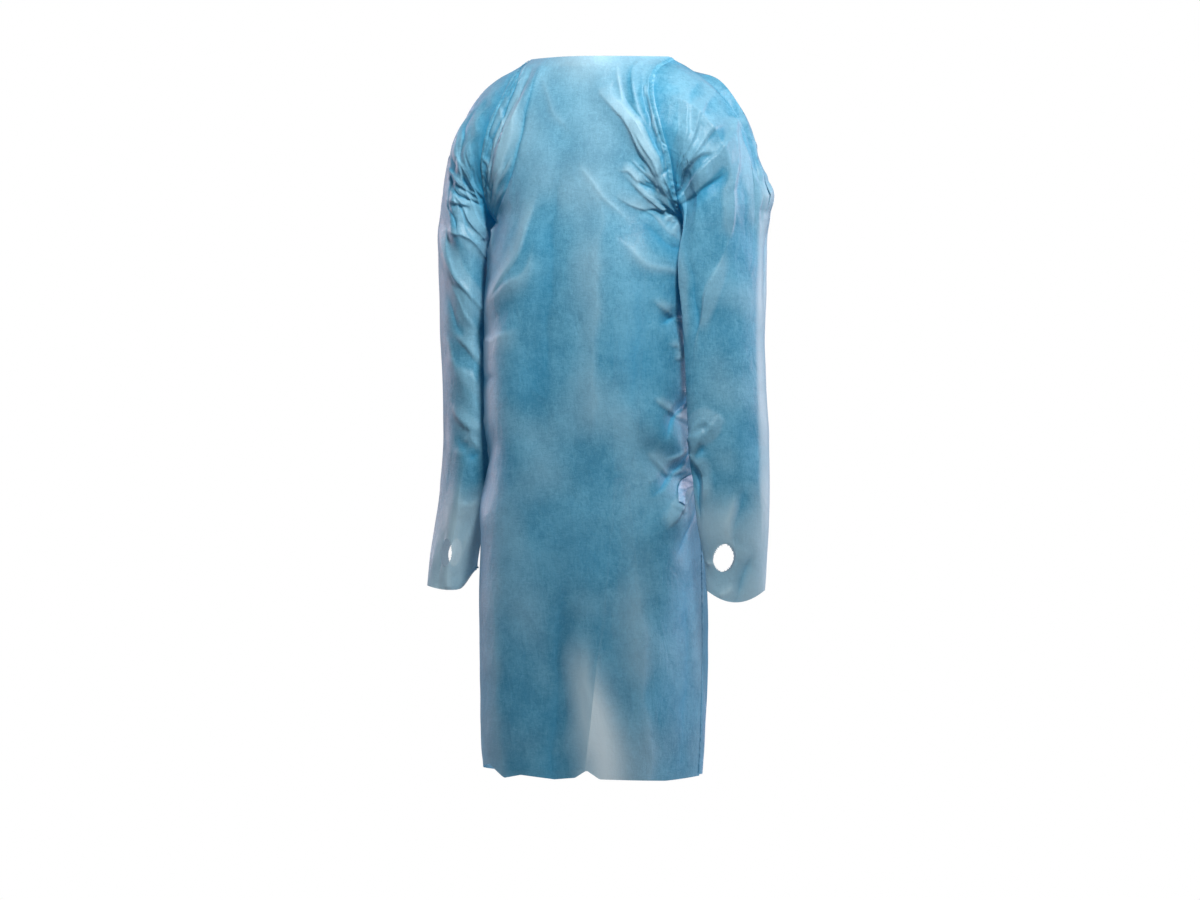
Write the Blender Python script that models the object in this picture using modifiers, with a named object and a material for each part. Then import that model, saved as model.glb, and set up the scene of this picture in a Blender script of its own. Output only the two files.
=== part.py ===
"""Isolation gown of thin coated cloth, hollow as if worn, with an open back and thumb holes.

Metres, +Z up. The front faces -Y and the wearer's left is +X. The origin lies between the two neck
corners of the shoulder seams, where the wearer holds the gown up. Every cloth wall follows a grid of
points worked out from the tables below, and has half of its thickness on each side of it.
"""

import math
from collections import namedtuple

import bmesh
import bpy
import numpy as np
from mathutils import Matrix, Vector

# ---- Driving dimensions -------------------------------------------------------------------------
GOWN_LENGTH = 1.080  # neck corner to the front hem
BACK_LENGTH = 1.072
FRONT_HALF_GIRTH = 0.24  # about what the cloth measures from its middle to the side seam
BACK_HALF_GIRTH = 0.22
BODY_GIRTH = 2 * (FRONT_HALF_GIRTH + BACK_HALF_GIRTH)
NECK_HALF_WIDTH = 0.114  # half of the straight neck edge
SHOULDER_TIP = 0.122  # where the armhole seam meets the shoulder, close beside the neck
SHOULDER_DROP = 0.005
ARMPIT_DEPTH = 0.262
ARM_RING_Z = -0.320  # the first sleeve ring that is clear of the body
WALL = 0.0012
SEAM_GAP = 0.0003
LAP = WALL + SEAM_GAP  # from one wall's middle to the middle of a wall lapped over it
RIM_LEAN = 0.6  # share of the wall by which the rim of a tilted panel reaches past its seam
EDGE_FADE = 0.10  # share of the front's half width over which its folds die out at a seam
BACK_EDGE_FADE = 0.20
TOP_FADE = 0.6  # sections below the shoulder line over which they die out there

FRONT_COLUMNS = 28
BACK_COLUMNS = 10
RING_HALF = 15  # mesh rows of each armhole half, and half the points round a sleeve
SHOULDER_RINGS = 8

FILM_BLUE = (0.36, 0.66, 0.80, 1.0)
TIE_BLUE = (0.50, 0.72, 0.84, 1.0)

# ---- Body sections, from the hem up -------------------------------------------------------------
# mid is the centre front or centre back, edge is the side seam or, above the armpit, the armhole.
# wrap is 1 where the panel turns right round to the side and 0 where it runs on into the sleeve,
# top is 1 on the shoulder line, and steps is the number of mesh rows up to the next section.
Section = namedtuple("Section", "mid_z mid_y edge_x edge_y edge_z wrap square top steps")
FRONT = (
    Section(-GOWN_LENGTH, -0.165, 0.163, 0.000, -GOWN_LENGTH, 1.0, 2.8, 0.0, 2),
    Section(-0.980, -0.166, 0.168, 0.000, -0.980, 1.0, 2.8, 0.0, 3),
    Section(-0.830, -0.163, 0.170, 0.000, -0.830, 1.0, 2.8, 0.0, 3),
    Section(-0.700, -0.156, 0.168, 0.000, -0.700, 1.0, 2.8, 0.0, 3),
    Section(-0.610, -0.149, 0.160, 0.000, -0.610, 1.0, 2.7, 0.0, 3),
    Section(-0.500, -0.145, 0.163, 0.000, -0.500, 1.0, 2.7, 0.0, 3),
    Section(-0.390, -0.141, 0.164, 0.000, -0.390, 1.0, 2.7, 0.0, 2),
    Section(-0.310, -0.137, 0.164, 0.000, -0.315, 1.0, 2.6, 0.0, 2),
    Section(-0.256, -0.132, 0.162, 0.000, -ARMPIT_DEPTH, 0.9, 2.4, 0.0, 3),
    Section(-0.205, -0.126, 0.157, -0.060, -0.225, 0.3, 2.2, 0.0, 3),
    Section(-0.150, -0.117, 0.157, -0.084, -0.170, 0.0, 2.2, 0.0, 3),
    Section(-0.098, -0.106, 0.145, -0.092, -0.112, 0.0, 2.2, 0.0, 3),
    Section(-0.050, -0.095, 0.125, -0.078, -0.057, 0.0, 2.2, 0.2, 2),
    Section(-0.020, -0.086, 0.118, -0.050, -0.024, 0.0, 2.2, 0.6, 1),
    Section(0.000, -0.080, SHOULDER_TIP, 0.000, -SHOULDER_DROP, 0.0, 2.2, 1.0, 0),
)
BACK = (
    Section(-BACK_LENGTH, 0.090, 0.163, 0.000, -BACK_LENGTH, 1.0, 2.1, 0.0, 2),
    Section(-0.980, 0.092, 0.168, 0.000, -0.980, 1.0, 2.1, 0.0, 3),
    Section(-0.830, 0.093, 0.170, 0.000, -0.830, 1.0, 2.1, 0.0, 3),
    Section(-0.700, 0.091, 0.168, 0.000, -0.700, 1.0, 2.1, 0.0, 3),
    Section(-0.610, 0.090, 0.160, 0.000, -0.610, 1.0, 2.1, 0.0, 3),
    Section(-0.500, 0.098, 0.163, 0.000, -0.500, 1.0, 2.2, 0.0, 3),
    Section(-0.390, 0.105, 0.164, 0.000, -0.390, 1.0, 2.2, 0.0, 2),
    Section(-0.310, 0.110, 0.164, 0.000, -0.315, 1.0, 2.2, 0.0, 2),
    Section(-0.256, 0.112, 0.162, 0.000, -ARMPIT_DEPTH, 0.9, 2.2, 0.0, 3),
    Section(-0.205, 0.111, 0.157, 0.050, -0.225, 0.3, 2.2, 0.0, 3),
    Section(-0.150, 0.107, 0.157, 0.070, -0.170, 0.0, 2.2, 0.0, 3),
    Section(-0.100, 0.099, 0.145, 0.078, -0.112, 0.0, 2.2, 0.0, 3),
    Section(-0.055, 0.087, 0.125, 0.066, -0.057, 0.0, 2.2, 0.2, 2),
    Section(-0.028, 0.075, 0.118, 0.042, -0.024, 0.0, 2.2, 0.6, 1),
    Section(-0.010, 0.062, SHOULDER_TIP, 0.000, -SHOULDER_DROP, 0.0, 2.2, 1.0, 0),
)

# Half the gap of the back opening at each height, closed by a seam at the nape.
BackGap = namedtuple("BackGap", "z half_gap")
BACK_GAPS = (
    BackGap(-GOWN_LENGTH, 0.066),
    BackGap(-0.900, 0.046),
    BackGap(-0.750, 0.028),
    BackGap(-0.630, 0.018),
    BackGap(-0.500, 0.024),
    BackGap(-0.300, 0.026),
    BackGap(-0.160, 0.012),
    BackGap(-0.100, SEAM_GAP / 2),
    BackGap(0.020, SEAM_GAP / 2),
)

# How far the front hem hangs below (-) or above (+) its level, at places across the panel.
HemWave = namedtuple("HemWave", "across lift")
HEM_WAVES = (
    HemWave(-1.00, 0.010),
    HemWave(-0.62, 0.018),
    HemWave(-0.44, 0.024),
    HemWave(-0.32, 0.004),
    HemWave(-0.21, 0.009),
    HemWave(0.00, 0.003),
    HemWave(0.14, 0.006),
    HemWave(0.21, 0.017),
    HemWave(0.28, 0.004),
    HemWave(0.65, 0.001),
    HemWave(1.00, 0.006),
)

# Largest folds. On a panel a place is (share of the way to the seam, height), and the width is
# measured in metres across the fold. A ridge has a positive height and a trough a negative one.
Fold = namedtuple("Fold", "from_across from_z to_across to_z width height")
FRONT_FOLDS = (
    Fold(-0.62, -0.378, -0.26, -0.326, 0.022, 0.008),  # drag line from the right armpit
    Fold(-0.26, -0.326, -0.12, -0.250, 0.024, 0.006),
    Fold(-0.70, -0.430, -0.34, -0.390, 0.026, -0.005),
    Fold(0.35, -0.055, 0.66, -0.108, 0.022, 0.006),  # chest fold to the left armpit
    Fold(0.66, -0.108, 0.85, -0.153, 0.021, 0.006),
    Fold(0.85, -0.153, 0.93, -0.220, 0.020, 0.005),
    Fold(0.40, -0.105, 0.84, -0.215, 0.024, -0.006),
    Fold(0.72, -0.020, 0.80, -0.110, 0.014, 0.004),  # pleats beside the left armhole
    Fold(0.88, -0.030, 0.90, -0.120, 0.012, -0.004),
    Fold(-0.55, -0.030, -0.80, -0.160, 0.018, 0.006),
    Fold(-0.72, -0.030, -0.88, -0.150, 0.015, -0.005),
    Fold(-0.10, -0.130, -0.16, -0.560, 0.034, -0.005),  # long soft troughs down the front
    Fold(0.14, -0.240, 0.10, -0.640, 0.036, -0.004),
    Fold(-0.36, -0.420, -0.30, -1.000, 0.042, 0.005),
    Fold(0.22, -0.700, 0.24, -1.060, 0.044, 0.006),
    Fold(-0.06, -0.780, -0.02, -1.060, 0.040, -0.006),
    Fold(0.52, -0.595, 0.88, -0.650, 0.022, -0.007),  # pull of the waist tie
    Fold(0.48, -0.545, 0.90, -0.600, 0.022, 0.006),
    Fold(0.52, -0.710, 0.86, -0.675, 0.024, 0.005),
    Fold(-0.50, -0.580, -0.90, -0.615, 0.022, -0.006),
    Fold(-0.52, -0.690, -0.90, -0.645, 0.024, 0.005),
    Fold(0.70, -0.520, 0.92, -0.560, 0.020, -0.006),
    Fold(0.58, -0.385, 0.88, -0.405, 0.020, -0.006),
)
BACK_FOLDS = (
    Fold(0.80, -0.250, 0.30, -0.160, 0.020, 0.006),
    Fold(0.84, -0.290, 0.40, -0.400, 0.022, -0.005),
    Fold(0.36, -0.110, 0.30, -0.520, 0.026, -0.006),
    Fold(0.60, -0.700, 0.64, -1.060, 0.032, 0.007),
    Fold(0.34, -0.680, 0.40, -1.060, 0.026, -0.006),
    Fold(0.86, -0.600, 0.46, -0.520, 0.020, 0.005),
)

# ---- Sleeve sections, from the first free ring down ---------------------------------------------
# The tube lies nearly flat: crease is the plan angle of its outer crease from +X towards the back,
# width and depth are half sizes along and across the flat, and x is measured outwards.
SleeveSection = namedtuple("SleeveSection", "z x y width depth crease steps")
LEFT_SLEEVE = (
    SleeveSection(ARM_RING_Z, 0.2150, -0.030, 0.070, 0.036, 44.0, 2),
    SleeveSection(-0.400, 0.2190, -0.034, 0.065, 0.034, 42.0, 2),
    SleeveSection(-0.500, 0.2260, -0.040, 0.062, 0.032, 40.0, 2),
    SleeveSection(-0.600, 0.2340, -0.045, 0.060, 0.030, 36.0, 2),
    SleeveSection(-0.700, 0.2410, -0.050, 0.053, 0.026, 32.0, 2),
    SleeveSection(-0.760, 0.2450, -0.050, 0.046, 0.020, 28.0, 2),
    SleeveSection(-0.796, 0.2460, -0.052, 0.043, 0.016, 26.0, 0),
)
RIGHT_SLEEVE = (
    SleeveSection(ARM_RING_Z, 0.2155, -0.026, 0.062, 0.034, 55.0, 2),
    SleeveSection(-0.400, 0.2140, -0.028, 0.058, 0.035, 53.0, 2),
    SleeveSection(-0.500, 0.2110, -0.033, 0.057, 0.032, 50.0, 2),
    SleeveSection(-0.600, 0.2040, -0.042, 0.051, 0.030, 38.0, 2),
    SleeveSection(-0.700, 0.2136, -0.046, 0.042, 0.027, 8.0, 2),
    SleeveSection(-0.760, 0.2199, -0.050, 0.038, 0.022, -15.0, 2),
    SleeveSection(-0.792, 0.2216, -0.050, 0.038, 0.019, -20.0, 0),
)
POINTED = 0.35  # how sharply the tube closes at its two creases
LEFT_FULLNESS = 1.34  # how far the sleeve head swings out before it drops
RIGHT_FULLNESS = 1.22
ARMPIT_FULLNESS = 0.95
SHOULDER_WAY = (0.89, 0.0, -0.46)  # the way the sleeve leaves the armhole at the shoulder
ARMPIT_WAY = (0.42, 0.0, -0.90)
SHOULDER_NORMAL = (0.35, 0.0, 0.94)
SLEEVE_METRES_PER_DEGREE = 0.0009

# Cuff shape: the middle of each face hangs lower, and one corner may be cut up. The right cuff is
# pinched along a ridge, so its hole lies narrower across than the left one.
Cuff = namedtuple("Cuff", "middle_drop inner_rise hole_z hole_along hole_lean hole_width")
LEFT_CUFF = Cuff(0.018, 0.000, -0.748, -0.017, 12.0, 0.033)
RIGHT_CUFF = Cuff(0.006, 0.024, -0.742, 0.005, -6.0, 0.020)
CUFF_BEND_ROWS = (5.0, 6.0)  # sleeve sections between which the cuff's own shape comes in
THUMB_HOLE_HEIGHT = 0.042
THUMB_HOLE_SIDES = 20
PUNCH_LENGTH = 0.11

# On a sleeve a place is (degrees round from the outer side towards the front, height).
SleeveFold = namedtuple("SleeveFold", "from_turn from_z to_turn to_z width height")
LEFT_SLEEVE_FOLDS = (
    SleeveFold(18, -0.108, 60, -0.288, 0.016, 0.006),  # long ridge down the front of the arm
    SleeveFold(60, -0.288, 106, -0.513, 0.018, 0.006),
    SleeveFold(127, -0.218, 60, -0.150, 0.013, 0.006),  # armpit folds
    SleeveFold(60, -0.150, 21, -0.095, 0.013, 0.005),
    SleeveFold(125, -0.195, 75, -0.128, 0.012, -0.006),
    SleeveFold(73, -0.057, 120, -0.183, 0.012, -0.005),
    SleeveFold(31, -0.058, 92, -0.162, 0.013, -0.005),
    SleeveFold(-1, -0.099, 23, -0.246, 0.014, -0.006),
    SleeveFold(338, -0.190, 338, -0.235, 0.032, 0.013),  # pushed-out corner of the outer crease
    SleeveFold(104, -0.560, 128, -0.610, 0.015, 0.006),  # inner elbow
    SleeveFold(100, -0.620, 132, -0.640, 0.015, -0.005),
    SleeveFold(300, -0.150, 250, -0.260, 0.015, 0.006),
    SleeveFold(290, -0.330, 225, -0.440, 0.017, -0.005),
    SleeveFold(300, -0.560, 250, -0.650, 0.016, 0.005),
)
RIGHT_SLEEVE_FOLDS = (
    SleeveFold(46, -0.108, 62, -0.167, 0.014, 0.006),
    SleeveFold(65, -0.202, 83, -0.261, 0.014, 0.007),
    SleeveFold(83, -0.261, 108, -0.280, 0.014, 0.006),
    SleeveFold(50, -0.215, 72, -0.270, 0.014, -0.005),
    SleeveFold(25, -0.256, 72, -0.312, 0.016, 0.007),  # long light fold across the upper arm
    SleeveFold(72, -0.312, 112, -0.380, 0.016, 0.006),
    SleeveFold(76, -0.460, 112, -0.505, 0.016, 0.005),
    SleeveFold(95, -0.600, 106, -0.790, 0.020, 0.014),  # front ridge of the cuff
    SleeveFold(300, -0.150, 250, -0.250, 0.015, 0.006),
    SleeveFold(285, -0.330, 230, -0.420, 0.017, -0.005),
    SleeveFold(300, -0.560, 260, -0.650, 0.016, 0.005),
)

# ---- Waist tie ----------------------------------------------------------------------------------
# girth runs from 0 at the centre front over 0.5 at the side seam to 1 at the centre back.
TiePoint = namedtuple("TiePoint", "girth z width")
TIE_PATH = (
    TiePoint(0.366, -0.668, 0.011),
    TiePoint(0.392, -0.650, 0.014),
    TiePoint(0.432, -0.636, 0.018),
    TiePoint(0.520, -0.630, 0.020),
    TiePoint(0.600, -0.629, 0.020),
    TiePoint(0.700, -0.628, 0.020),
    TiePoint(0.800, -0.627, 0.019),
    TiePoint(0.880, -0.626, 0.017),
    TiePoint(0.930, -0.625, 0.014),
)
TIE_CLEAR = 0.0007  # between the tie and the panels it lies on
TIE_STEPS = 3  # mesh steps between two tie points
LOOSE_END_POINTS = 2  # tie points of the left strip's free front end, which the right one lacks
PINCH_AT_KNOT = 0.7
KNOT_SIZE = (0.024, 0.016, 0.026)
KNOT_WAIST = 0.22  # share by which the knot is drawn in at its middle
KNOT_WAIST_REACH = 0.16
KNOT_Z = -0.625
KNOT_STANDS_OFF = 0.010  # knot's middle behind the panels
TAIL_WIDTH = 0.020
TAIL_TOP = 0.45  # share of its width that a free end has where it leaves the knot
TAIL_STEPS = 4
TailPoint = namedtuple("TailPoint", "x y drop turn")  # x and y from the knot, turn in degrees
TAIL_PATH = (
    TailPoint(0.004, 0.000, 0.0118, 0.0),
    TailPoint(0.010, 0.003, 0.050, 12.0),
    TailPoint(0.016, 0.005, 0.100, 26.0),
    TailPoint(0.021, 0.004, 0.160, 34.0),
    TailPoint(0.027, 0.003, 0.220, 22.0),
    TailPoint(0.030, 0.002, 0.265, 10.0),
)


# ---- Reading the tables -------------------------------------------------------------------------
def read_smooth(rows, name, place):
    """The value of one column on a smooth curve through the rows that never overshoots them."""
    values = np.array([getattr(row, name) for row in rows])
    steps = np.diff(values)
    before, after = np.append(steps[:1], steps), np.append(steps, steps[-1:])
    turning = before * after <= 0
    slopes = np.where(turning, 0.0, 2 * before * after / np.where(turning, 1.0, before + after))
    i = np.clip(np.floor(place).astype(int), 0, len(values) - 2)
    t = place - i
    return (
        values[i] * (2 * t**3 - 3 * t**2 + 1)
        + slopes[i] * (t**3 - 2 * t**2 + t)
        + values[i + 1] * (3 * t**2 - 2 * t**3)
        + slopes[i + 1] * (t**3 - t**2)
    )


def mesh_places(rows):
    """Places of the mesh rows, with each section's own number of steps."""
    places = [i + step / row.steps for i, row in enumerate(rows) for step in range(row.steps)]
    return np.array(places + [len(rows) - 1.0])


def fade(value, low, high):
    """0 at low and 1 at high, with a smooth start and end."""
    t = np.clip((value - low) / (high - low), 0.0, 1.0)
    return t * t * (3 - 2 * t)


def fold_height(folds, across, z, girth):
    """Sum of the folds at a place. girth turns a step across into metres."""
    total = np.zeros_like(z)
    for fold in folds:
        start = np.array([fold[0] * girth, fold[1]])
        way = np.array([fold[2] * girth, fold[3]]) - start
        along = ((across * girth - start[0]) * way[0] + (z - start[1]) * way[1]) / (way @ way)
        held = np.clip(along, 0.0, 1.0)
        off = np.hypot(across * girth - start[0] - held * way[0], z - start[1] - held * way[1])
        swell = 0.55 + 0.45 * np.sin(math.pi * held)
        total += fold.height * swell * np.exp(-((off / fold.width) ** 2))
    return total


# ---- Body surface -------------------------------------------------------------------------------
def body_rows(rows, place, across):
    """Points of a body panel. across is 0 at its middle and 1 or -1 at its edges."""
    value = {name: read_smooth(rows, name, place) for name in Section._fields[:-1]}
    angle = across * math.pi / 2
    power = value["square"]
    round_out = (abs(np.sin(angle)) ** power + abs(np.cos(angle)) ** power) ** (-1 / power)
    wrap = value["wrap"]
    out = (1 - wrap) * across + wrap * np.sin(angle) * round_out
    towards_mid = (1 - wrap) * (1 - abs(across) ** 2.2) + wrap * np.cos(angle) * round_out
    x = value["edge_x"] * out
    neck = NECK_HALF_WIDTH
    slope = np.clip((abs(x) - neck) / (SHOULDER_TIP - neck), 0.0, 1.0)
    top = value["top"]
    mix_y = (1 - top) * towards_mid + top * np.clip(1 - (x / neck) ** 2, 0.0, 1.0)
    mix_z = (1 - top) * towards_mid + top * (1 - slope)
    y = value["edge_y"] + (value["mid_y"] - value["edge_y"]) * mix_y
    z = value["edge_z"] + (value["mid_z"] - value["edge_z"]) * mix_z
    return np.stack([x, y, z], axis=-1)


def grid_normals(grid, ring=False):
    """Unit normals of a grid of points, along the cross product of its row and column steps."""
    if ring:
        around = np.roll(grid, -1, axis=1) - np.roll(grid, 1, axis=1)
    else:
        around = np.gradient(grid, axis=1)
    normals = np.cross(around, np.gradient(grid, axis=0))
    return normals / np.maximum(np.linalg.norm(normals, axis=2, keepdims=True), 1e-12)


def clear_of_seam(grid, side):
    """Draws a panel's rim back from the plane of the side and shoulder seams, y = 0."""
    rim = SEAM_GAP / 2 + RIM_LEAN * WALL * abs(grid_normals(grid)[..., 1])
    grid[..., 1] = np.where(abs(grid[..., 1]) < rim, side * rim, grid[..., 1])
    return grid


def front_grid():
    """Points of the front panel, hem first, from the wearer's right to the left."""
    place, across = np.meshgrid(
        mesh_places(FRONT), np.linspace(-1.0, 1.0, FRONT_COLUMNS + 1), indexing="ij"
    )
    grid = body_rows(FRONT, place, across)
    waves = np.interp(across, [w.across for w in HEM_WAVES], [w.lift for w in HEM_WAVES])
    grid[..., 2] += waves * (1 - fade(place, 0.0, 0.5))
    seam = fade(1 - abs(across), 0.0, EDGE_FADE)
    lift = fold_height(FRONT_FOLDS, across, grid[..., 2], FRONT_HALF_GIRTH) * seam
    lift *= fade(len(FRONT) - 1 - place, 0.0, TOP_FADE)
    return clear_of_seam(grid + grid_normals(grid) * lift[..., None], -1)


def back_across(place, side_to_middle):
    """Position across the back: 1 at the side, and at the edge of the opening in the middle."""
    z = read_smooth(BACK, "mid_z", place)
    half_gap = np.interp(z, [g.z for g in BACK_GAPS], [g.half_gap for g in BACK_GAPS])
    wrap = read_smooth(BACK, "wrap", place)
    edge_x = read_smooth(BACK, "edge_x", place)
    slope = wrap * math.pi / 2 + (1 - wrap)
    least = half_gap / edge_x / slope
    return 1 - (1 - least) * side_to_middle


def back_grid():
    """Points of the left back panel, hem first, from its side seam to the opening."""
    place, step = np.meshgrid(
        mesh_places(BACK), np.linspace(0.0, 1.0, BACK_COLUMNS + 1), indexing="ij"
    )
    across = back_across(place, step)
    grid = body_rows(BACK, place, across)
    lift = fold_height(BACK_FOLDS, across, grid[..., 2], BACK_HALF_GIRTH)
    lift *= fade(step, 0.0, BACK_EDGE_FADE) * fade(len(BACK) - 1 - place, 0.0, TOP_FADE)
    return clear_of_seam(grid + grid_normals(grid) * lift[..., None], 1)


# ---- Sleeve surface -----------------------------------------------------------------------------
def sleeve_ring(rows, place, turn):
    """Points of the free sleeve. turn is in radians from the outer side towards the front."""
    value = {name: read_smooth(rows, name, place) for name in SleeveSection._fields[:-1]}
    crease = np.radians(value["crease"])
    local = turn + crease
    along = value["width"] * np.cos(local)
    deep = value["depth"] * np.sin(local) * abs(np.sin(local)) ** POINTED
    x = value["x"] + along * np.cos(crease) + deep * np.sin(crease)
    y = value["y"] + along * np.sin(crease) - deep * np.cos(crease)
    return np.stack([x, y, value["z"] + 0 * local], axis=-1)


def armhole_loop(front, back):
    """The armhole's points from the shoulder tip down the front and up the back.

    With them come their outward normals and the ways in which the panels run on past them.
    """
    front_normals = grid_normals(front)
    back_normals = grid_normals(back)
    first = len(front) - 1 - RING_HALF
    front_edge, back_edge = front[first:, -1], back[first:, 0]
    points = np.concatenate([front_edge[::-1], back_edge[1:-1]])
    normals = np.concatenate([front_normals[first:, -1][::-1], back_normals[first:, 0][1:-1]])
    ways = np.concatenate(
        [
            (front[first:, -1] - front[first:, -2])[::-1],
            (back[first:, 0] - back[first:, 1])[1:-1],
        ]
    )
    points[0] = (front_edge[-1] + back_edge[-1]) / 2
    points[RING_HALF] = (front_edge[0] + back_edge[0]) / 2
    normals[0] = SHOULDER_NORMAL
    normals[RING_HALF] = (1.0, 0.0, 0.0)
    ways[0] = SHOULDER_WAY
    return points, normals, ways / np.linalg.norm(ways, axis=1, keepdims=True)


def sleeve_grid(front, back, rows, folds, cuff, fullness):
    """Points of a sleeve on the wearer's left, armhole first. fullness is that of the shoulder."""
    count = 2 * RING_HALF
    turns = np.arange(count) / count * 2 * math.pi
    points, normals, ways = armhole_loop(front, back)
    start = points + normals * LAP
    low = fade(-np.cos(turns), 0.25, 1.0)[:, None]  # 1 at the armpit, 0 over the shoulder
    high = (0.5 + 0.5 * np.cos(turns))[:, None]
    swing = ARMPIT_FULLNESS + (fullness - ARMPIT_FULLNESS) * high
    away = ways * (1 - low) + np.array(ARMPIT_WAY) * low
    away /= np.linalg.norm(away, axis=1, keepdims=True)
    end = sleeve_ring(rows, np.zeros(count), turns)
    after = sleeve_ring(rows, np.full(count, 0.1), turns)
    down = (after - end) / np.linalg.norm(after - end, axis=1, keepdims=True)
    reach = np.linalg.norm(end - start, axis=1, keepdims=True)
    rings = []
    for t in np.linspace(0.0, 1.0, SHOULDER_RINGS, endpoint=False):
        rings.append(
            start * (2 * t**3 - 3 * t**2 + 1)
            + away * reach * swing * (t**3 - 2 * t**2 + t)
            + end * (3 * t**2 - 2 * t**3)
            + down * reach * swing * (t**3 - t**2)
        )
    place, turn = np.meshgrid(mesh_places(rows), turns, indexing="ij")
    grid = np.concatenate([np.array(rings), sleeve_ring(rows, place, turn)])
    local = turns + math.radians(rows[-1].crease)
    cuff_end = -cuff.middle_drop * np.sin(local) ** 2 + cuff.inner_rise * fade(-np.cos(local), 0.2, 1.0)
    share = np.concatenate([np.zeros(SHOULDER_RINGS), fade(mesh_places(rows), *CUFF_BEND_ROWS)])
    grid[..., 2] += share[:, None] * cuff_end
    return grid + fold_offsets(grid, turns, folds)


def fold_offsets(grid, turns, folds):
    """Fold offsets of a sleeve, written round the tube in degrees and faded at the armhole."""
    degrees = np.degrees(turns)[None, :] + 0 * grid[..., 2]
    lift = np.zeros_like(degrees)
    for turned in (-360.0, 0.0, 360.0):
        shifted = [f._replace(from_turn=f[0] + turned, to_turn=f[2] + turned) for f in folds]
        lift += fold_height(shifted, degrees, grid[..., 2], SLEEVE_METRES_PER_DEGREE)
    held = fade(np.arange(len(grid), dtype=float), 0.0, 2.0)[:, None]
    return grid_normals(grid, ring=True) * (lift * held)[..., None]


# ---- Making objects -----------------------------------------------------------------------------
def new_object(name, mesh, collection, material=None):
    obj = bpy.data.objects.new(name, mesh)
    collection.objects.link(obj)
    if material:
        mesh.materials.append(material)
    return obj


def surface_mesh(name, grid, ring=False):
    """A mesh of four-sided faces through a grid of points. A ring closes on itself."""
    rows, columns = grid.shape[:2]
    steps = columns if ring else columns - 1
    faces = [
        (
            r * columns + c,
            r * columns + (c + 1) % columns,
            (r + 1) * columns + (c + 1) % columns,
            (r + 1) * columns + c,
        )
        for r in range(rows - 1)
        for c in range(steps)
    ]
    mesh = bpy.data.meshes.new(name)
    mesh.from_pydata(grid.reshape(-1, 3).tolist(), [], faces)
    mesh.validate()
    return mesh


def turn_faces_out(mesh, centre_line):
    """Points every face away from centre_line, which gives an (x, y) place for each height."""
    bm = bmesh.new()
    bm.from_mesh(mesh)
    votes = 0.0
    for face in bm.faces:
        middle = face.calc_center_median()
        x, y = centre_line(middle.z)
        votes += face.normal.dot(Vector((middle.x - x, middle.y - y, 0.0)))
    if votes < 0:
        bmesh.ops.reverse_faces(bm, faces=bm.faces)
    bm.to_mesh(mesh)
    bm.free()


def cloth_piece(name, grid, collection, material, ring=False, centre_line=lambda z: (0.0, 0.0)):
    """A cloth wall along a grid of points."""
    mesh = surface_mesh(name, grid, ring)
    turn_faces_out(mesh, centre_line)
    mesh.shade_smooth()
    obj = new_object(name, mesh, collection, material)
    wall = obj.modifiers.new("wall", "SOLIDIFY")
    wall.thickness = WALL
    wall.offset = 0.0
    wall.use_even_offset = True
    return obj


def mirrored(grid):
    """The same cloth on the wearer's right."""
    return grid * np.array([-1.0, 1.0, 1.0])


def sleeve_axis(rows, side):
    """Plan position of the sleeve's middle at a height."""
    heights = [row.z for row in rows][::-1]

    def at(z):
        x = np.interp(z, heights, [row.x for row in rows][::-1])
        y = np.interp(z, heights, [row.y for row in rows][::-1])
        return side * x, y

    return at


def cut_thumb_hole(sleeve, rows, cuff, side, cutters):
    """An oval hole punched through both faces of the cuff."""
    place = np.interp(-cuff.hole_z, [-row.z for row in rows], range(len(rows)))
    crease = math.radians(read_smooth(rows, "crease", place))
    x = side * (read_smooth(rows, "x", place) + cuff.hole_along * math.cos(crease))
    y = read_smooth(rows, "y", place) + cuff.hole_along * math.sin(crease)
    bm = bmesh.new()
    bmesh.ops.create_cone(
        bm,
        cap_ends=True,
        segments=THUMB_HOLE_SIDES,
        radius1=0.5,
        radius2=0.5,
        depth=PUNCH_LENGTH,
        matrix=Matrix.Rotation(math.radians(90.0), 4, "X"),
    )
    lean = Matrix.Rotation(math.radians(side * cuff.hole_lean), 4, "Y")
    facing = Matrix.Rotation(side * crease, 4, "Z")
    oval = Matrix.Diagonal((cuff.hole_width, 1.0, THUMB_HOLE_HEIGHT, 1.0))
    bmesh.ops.transform(
        bm, matrix=Matrix.Translation((x, y, cuff.hole_z)) @ facing @ lean @ oval, verts=bm.verts
    )
    mesh = bpy.data.meshes.new(sleeve.name + "_thumb_cutter")
    bm.to_mesh(mesh)
    bm.free()
    cutter = new_object(mesh.name, mesh, cutters)
    cutter.hide_render = True
    cutter.display_type = "WIRE"
    hole = sleeve.modifiers.new("thumb hole", "BOOLEAN")
    hole.operation = "DIFFERENCE"
    hole.object = cutter
    hole.solver = "EXACT"


# ---- Waist tie ----------------------------------------------------------------------------------
def on_panels(front, back, girth, z):
    """Point and outward normal on the mesh of the left half of the body, by girth and height."""
    grid = front if girth <= 0.5 else back
    if girth <= 0.5:
        column = (FRONT_COLUMNS / 2) * (1 + 2 * girth)
    else:
        column = BACK_COLUMNS * 2 * (girth - 0.5)
    normals = grid_normals(grid)
    low = min(int(column), grid.shape[1] - 2)
    share = column - low
    line = grid[:, low] * (1 - share) + grid[:, low + 1] * share
    out = normals[:, low] * (1 - share) + normals[:, low + 1] * share
    rows = len(line) - RING_HALF
    point = np.array([np.interp(z, line[:rows, 2], line[:rows, axis]) for axis in range(3)])
    normal = np.array([np.interp(z, line[:rows, 2], out[:rows, axis]) for axis in range(3)])
    return point, normal / np.linalg.norm(normal)


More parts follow.
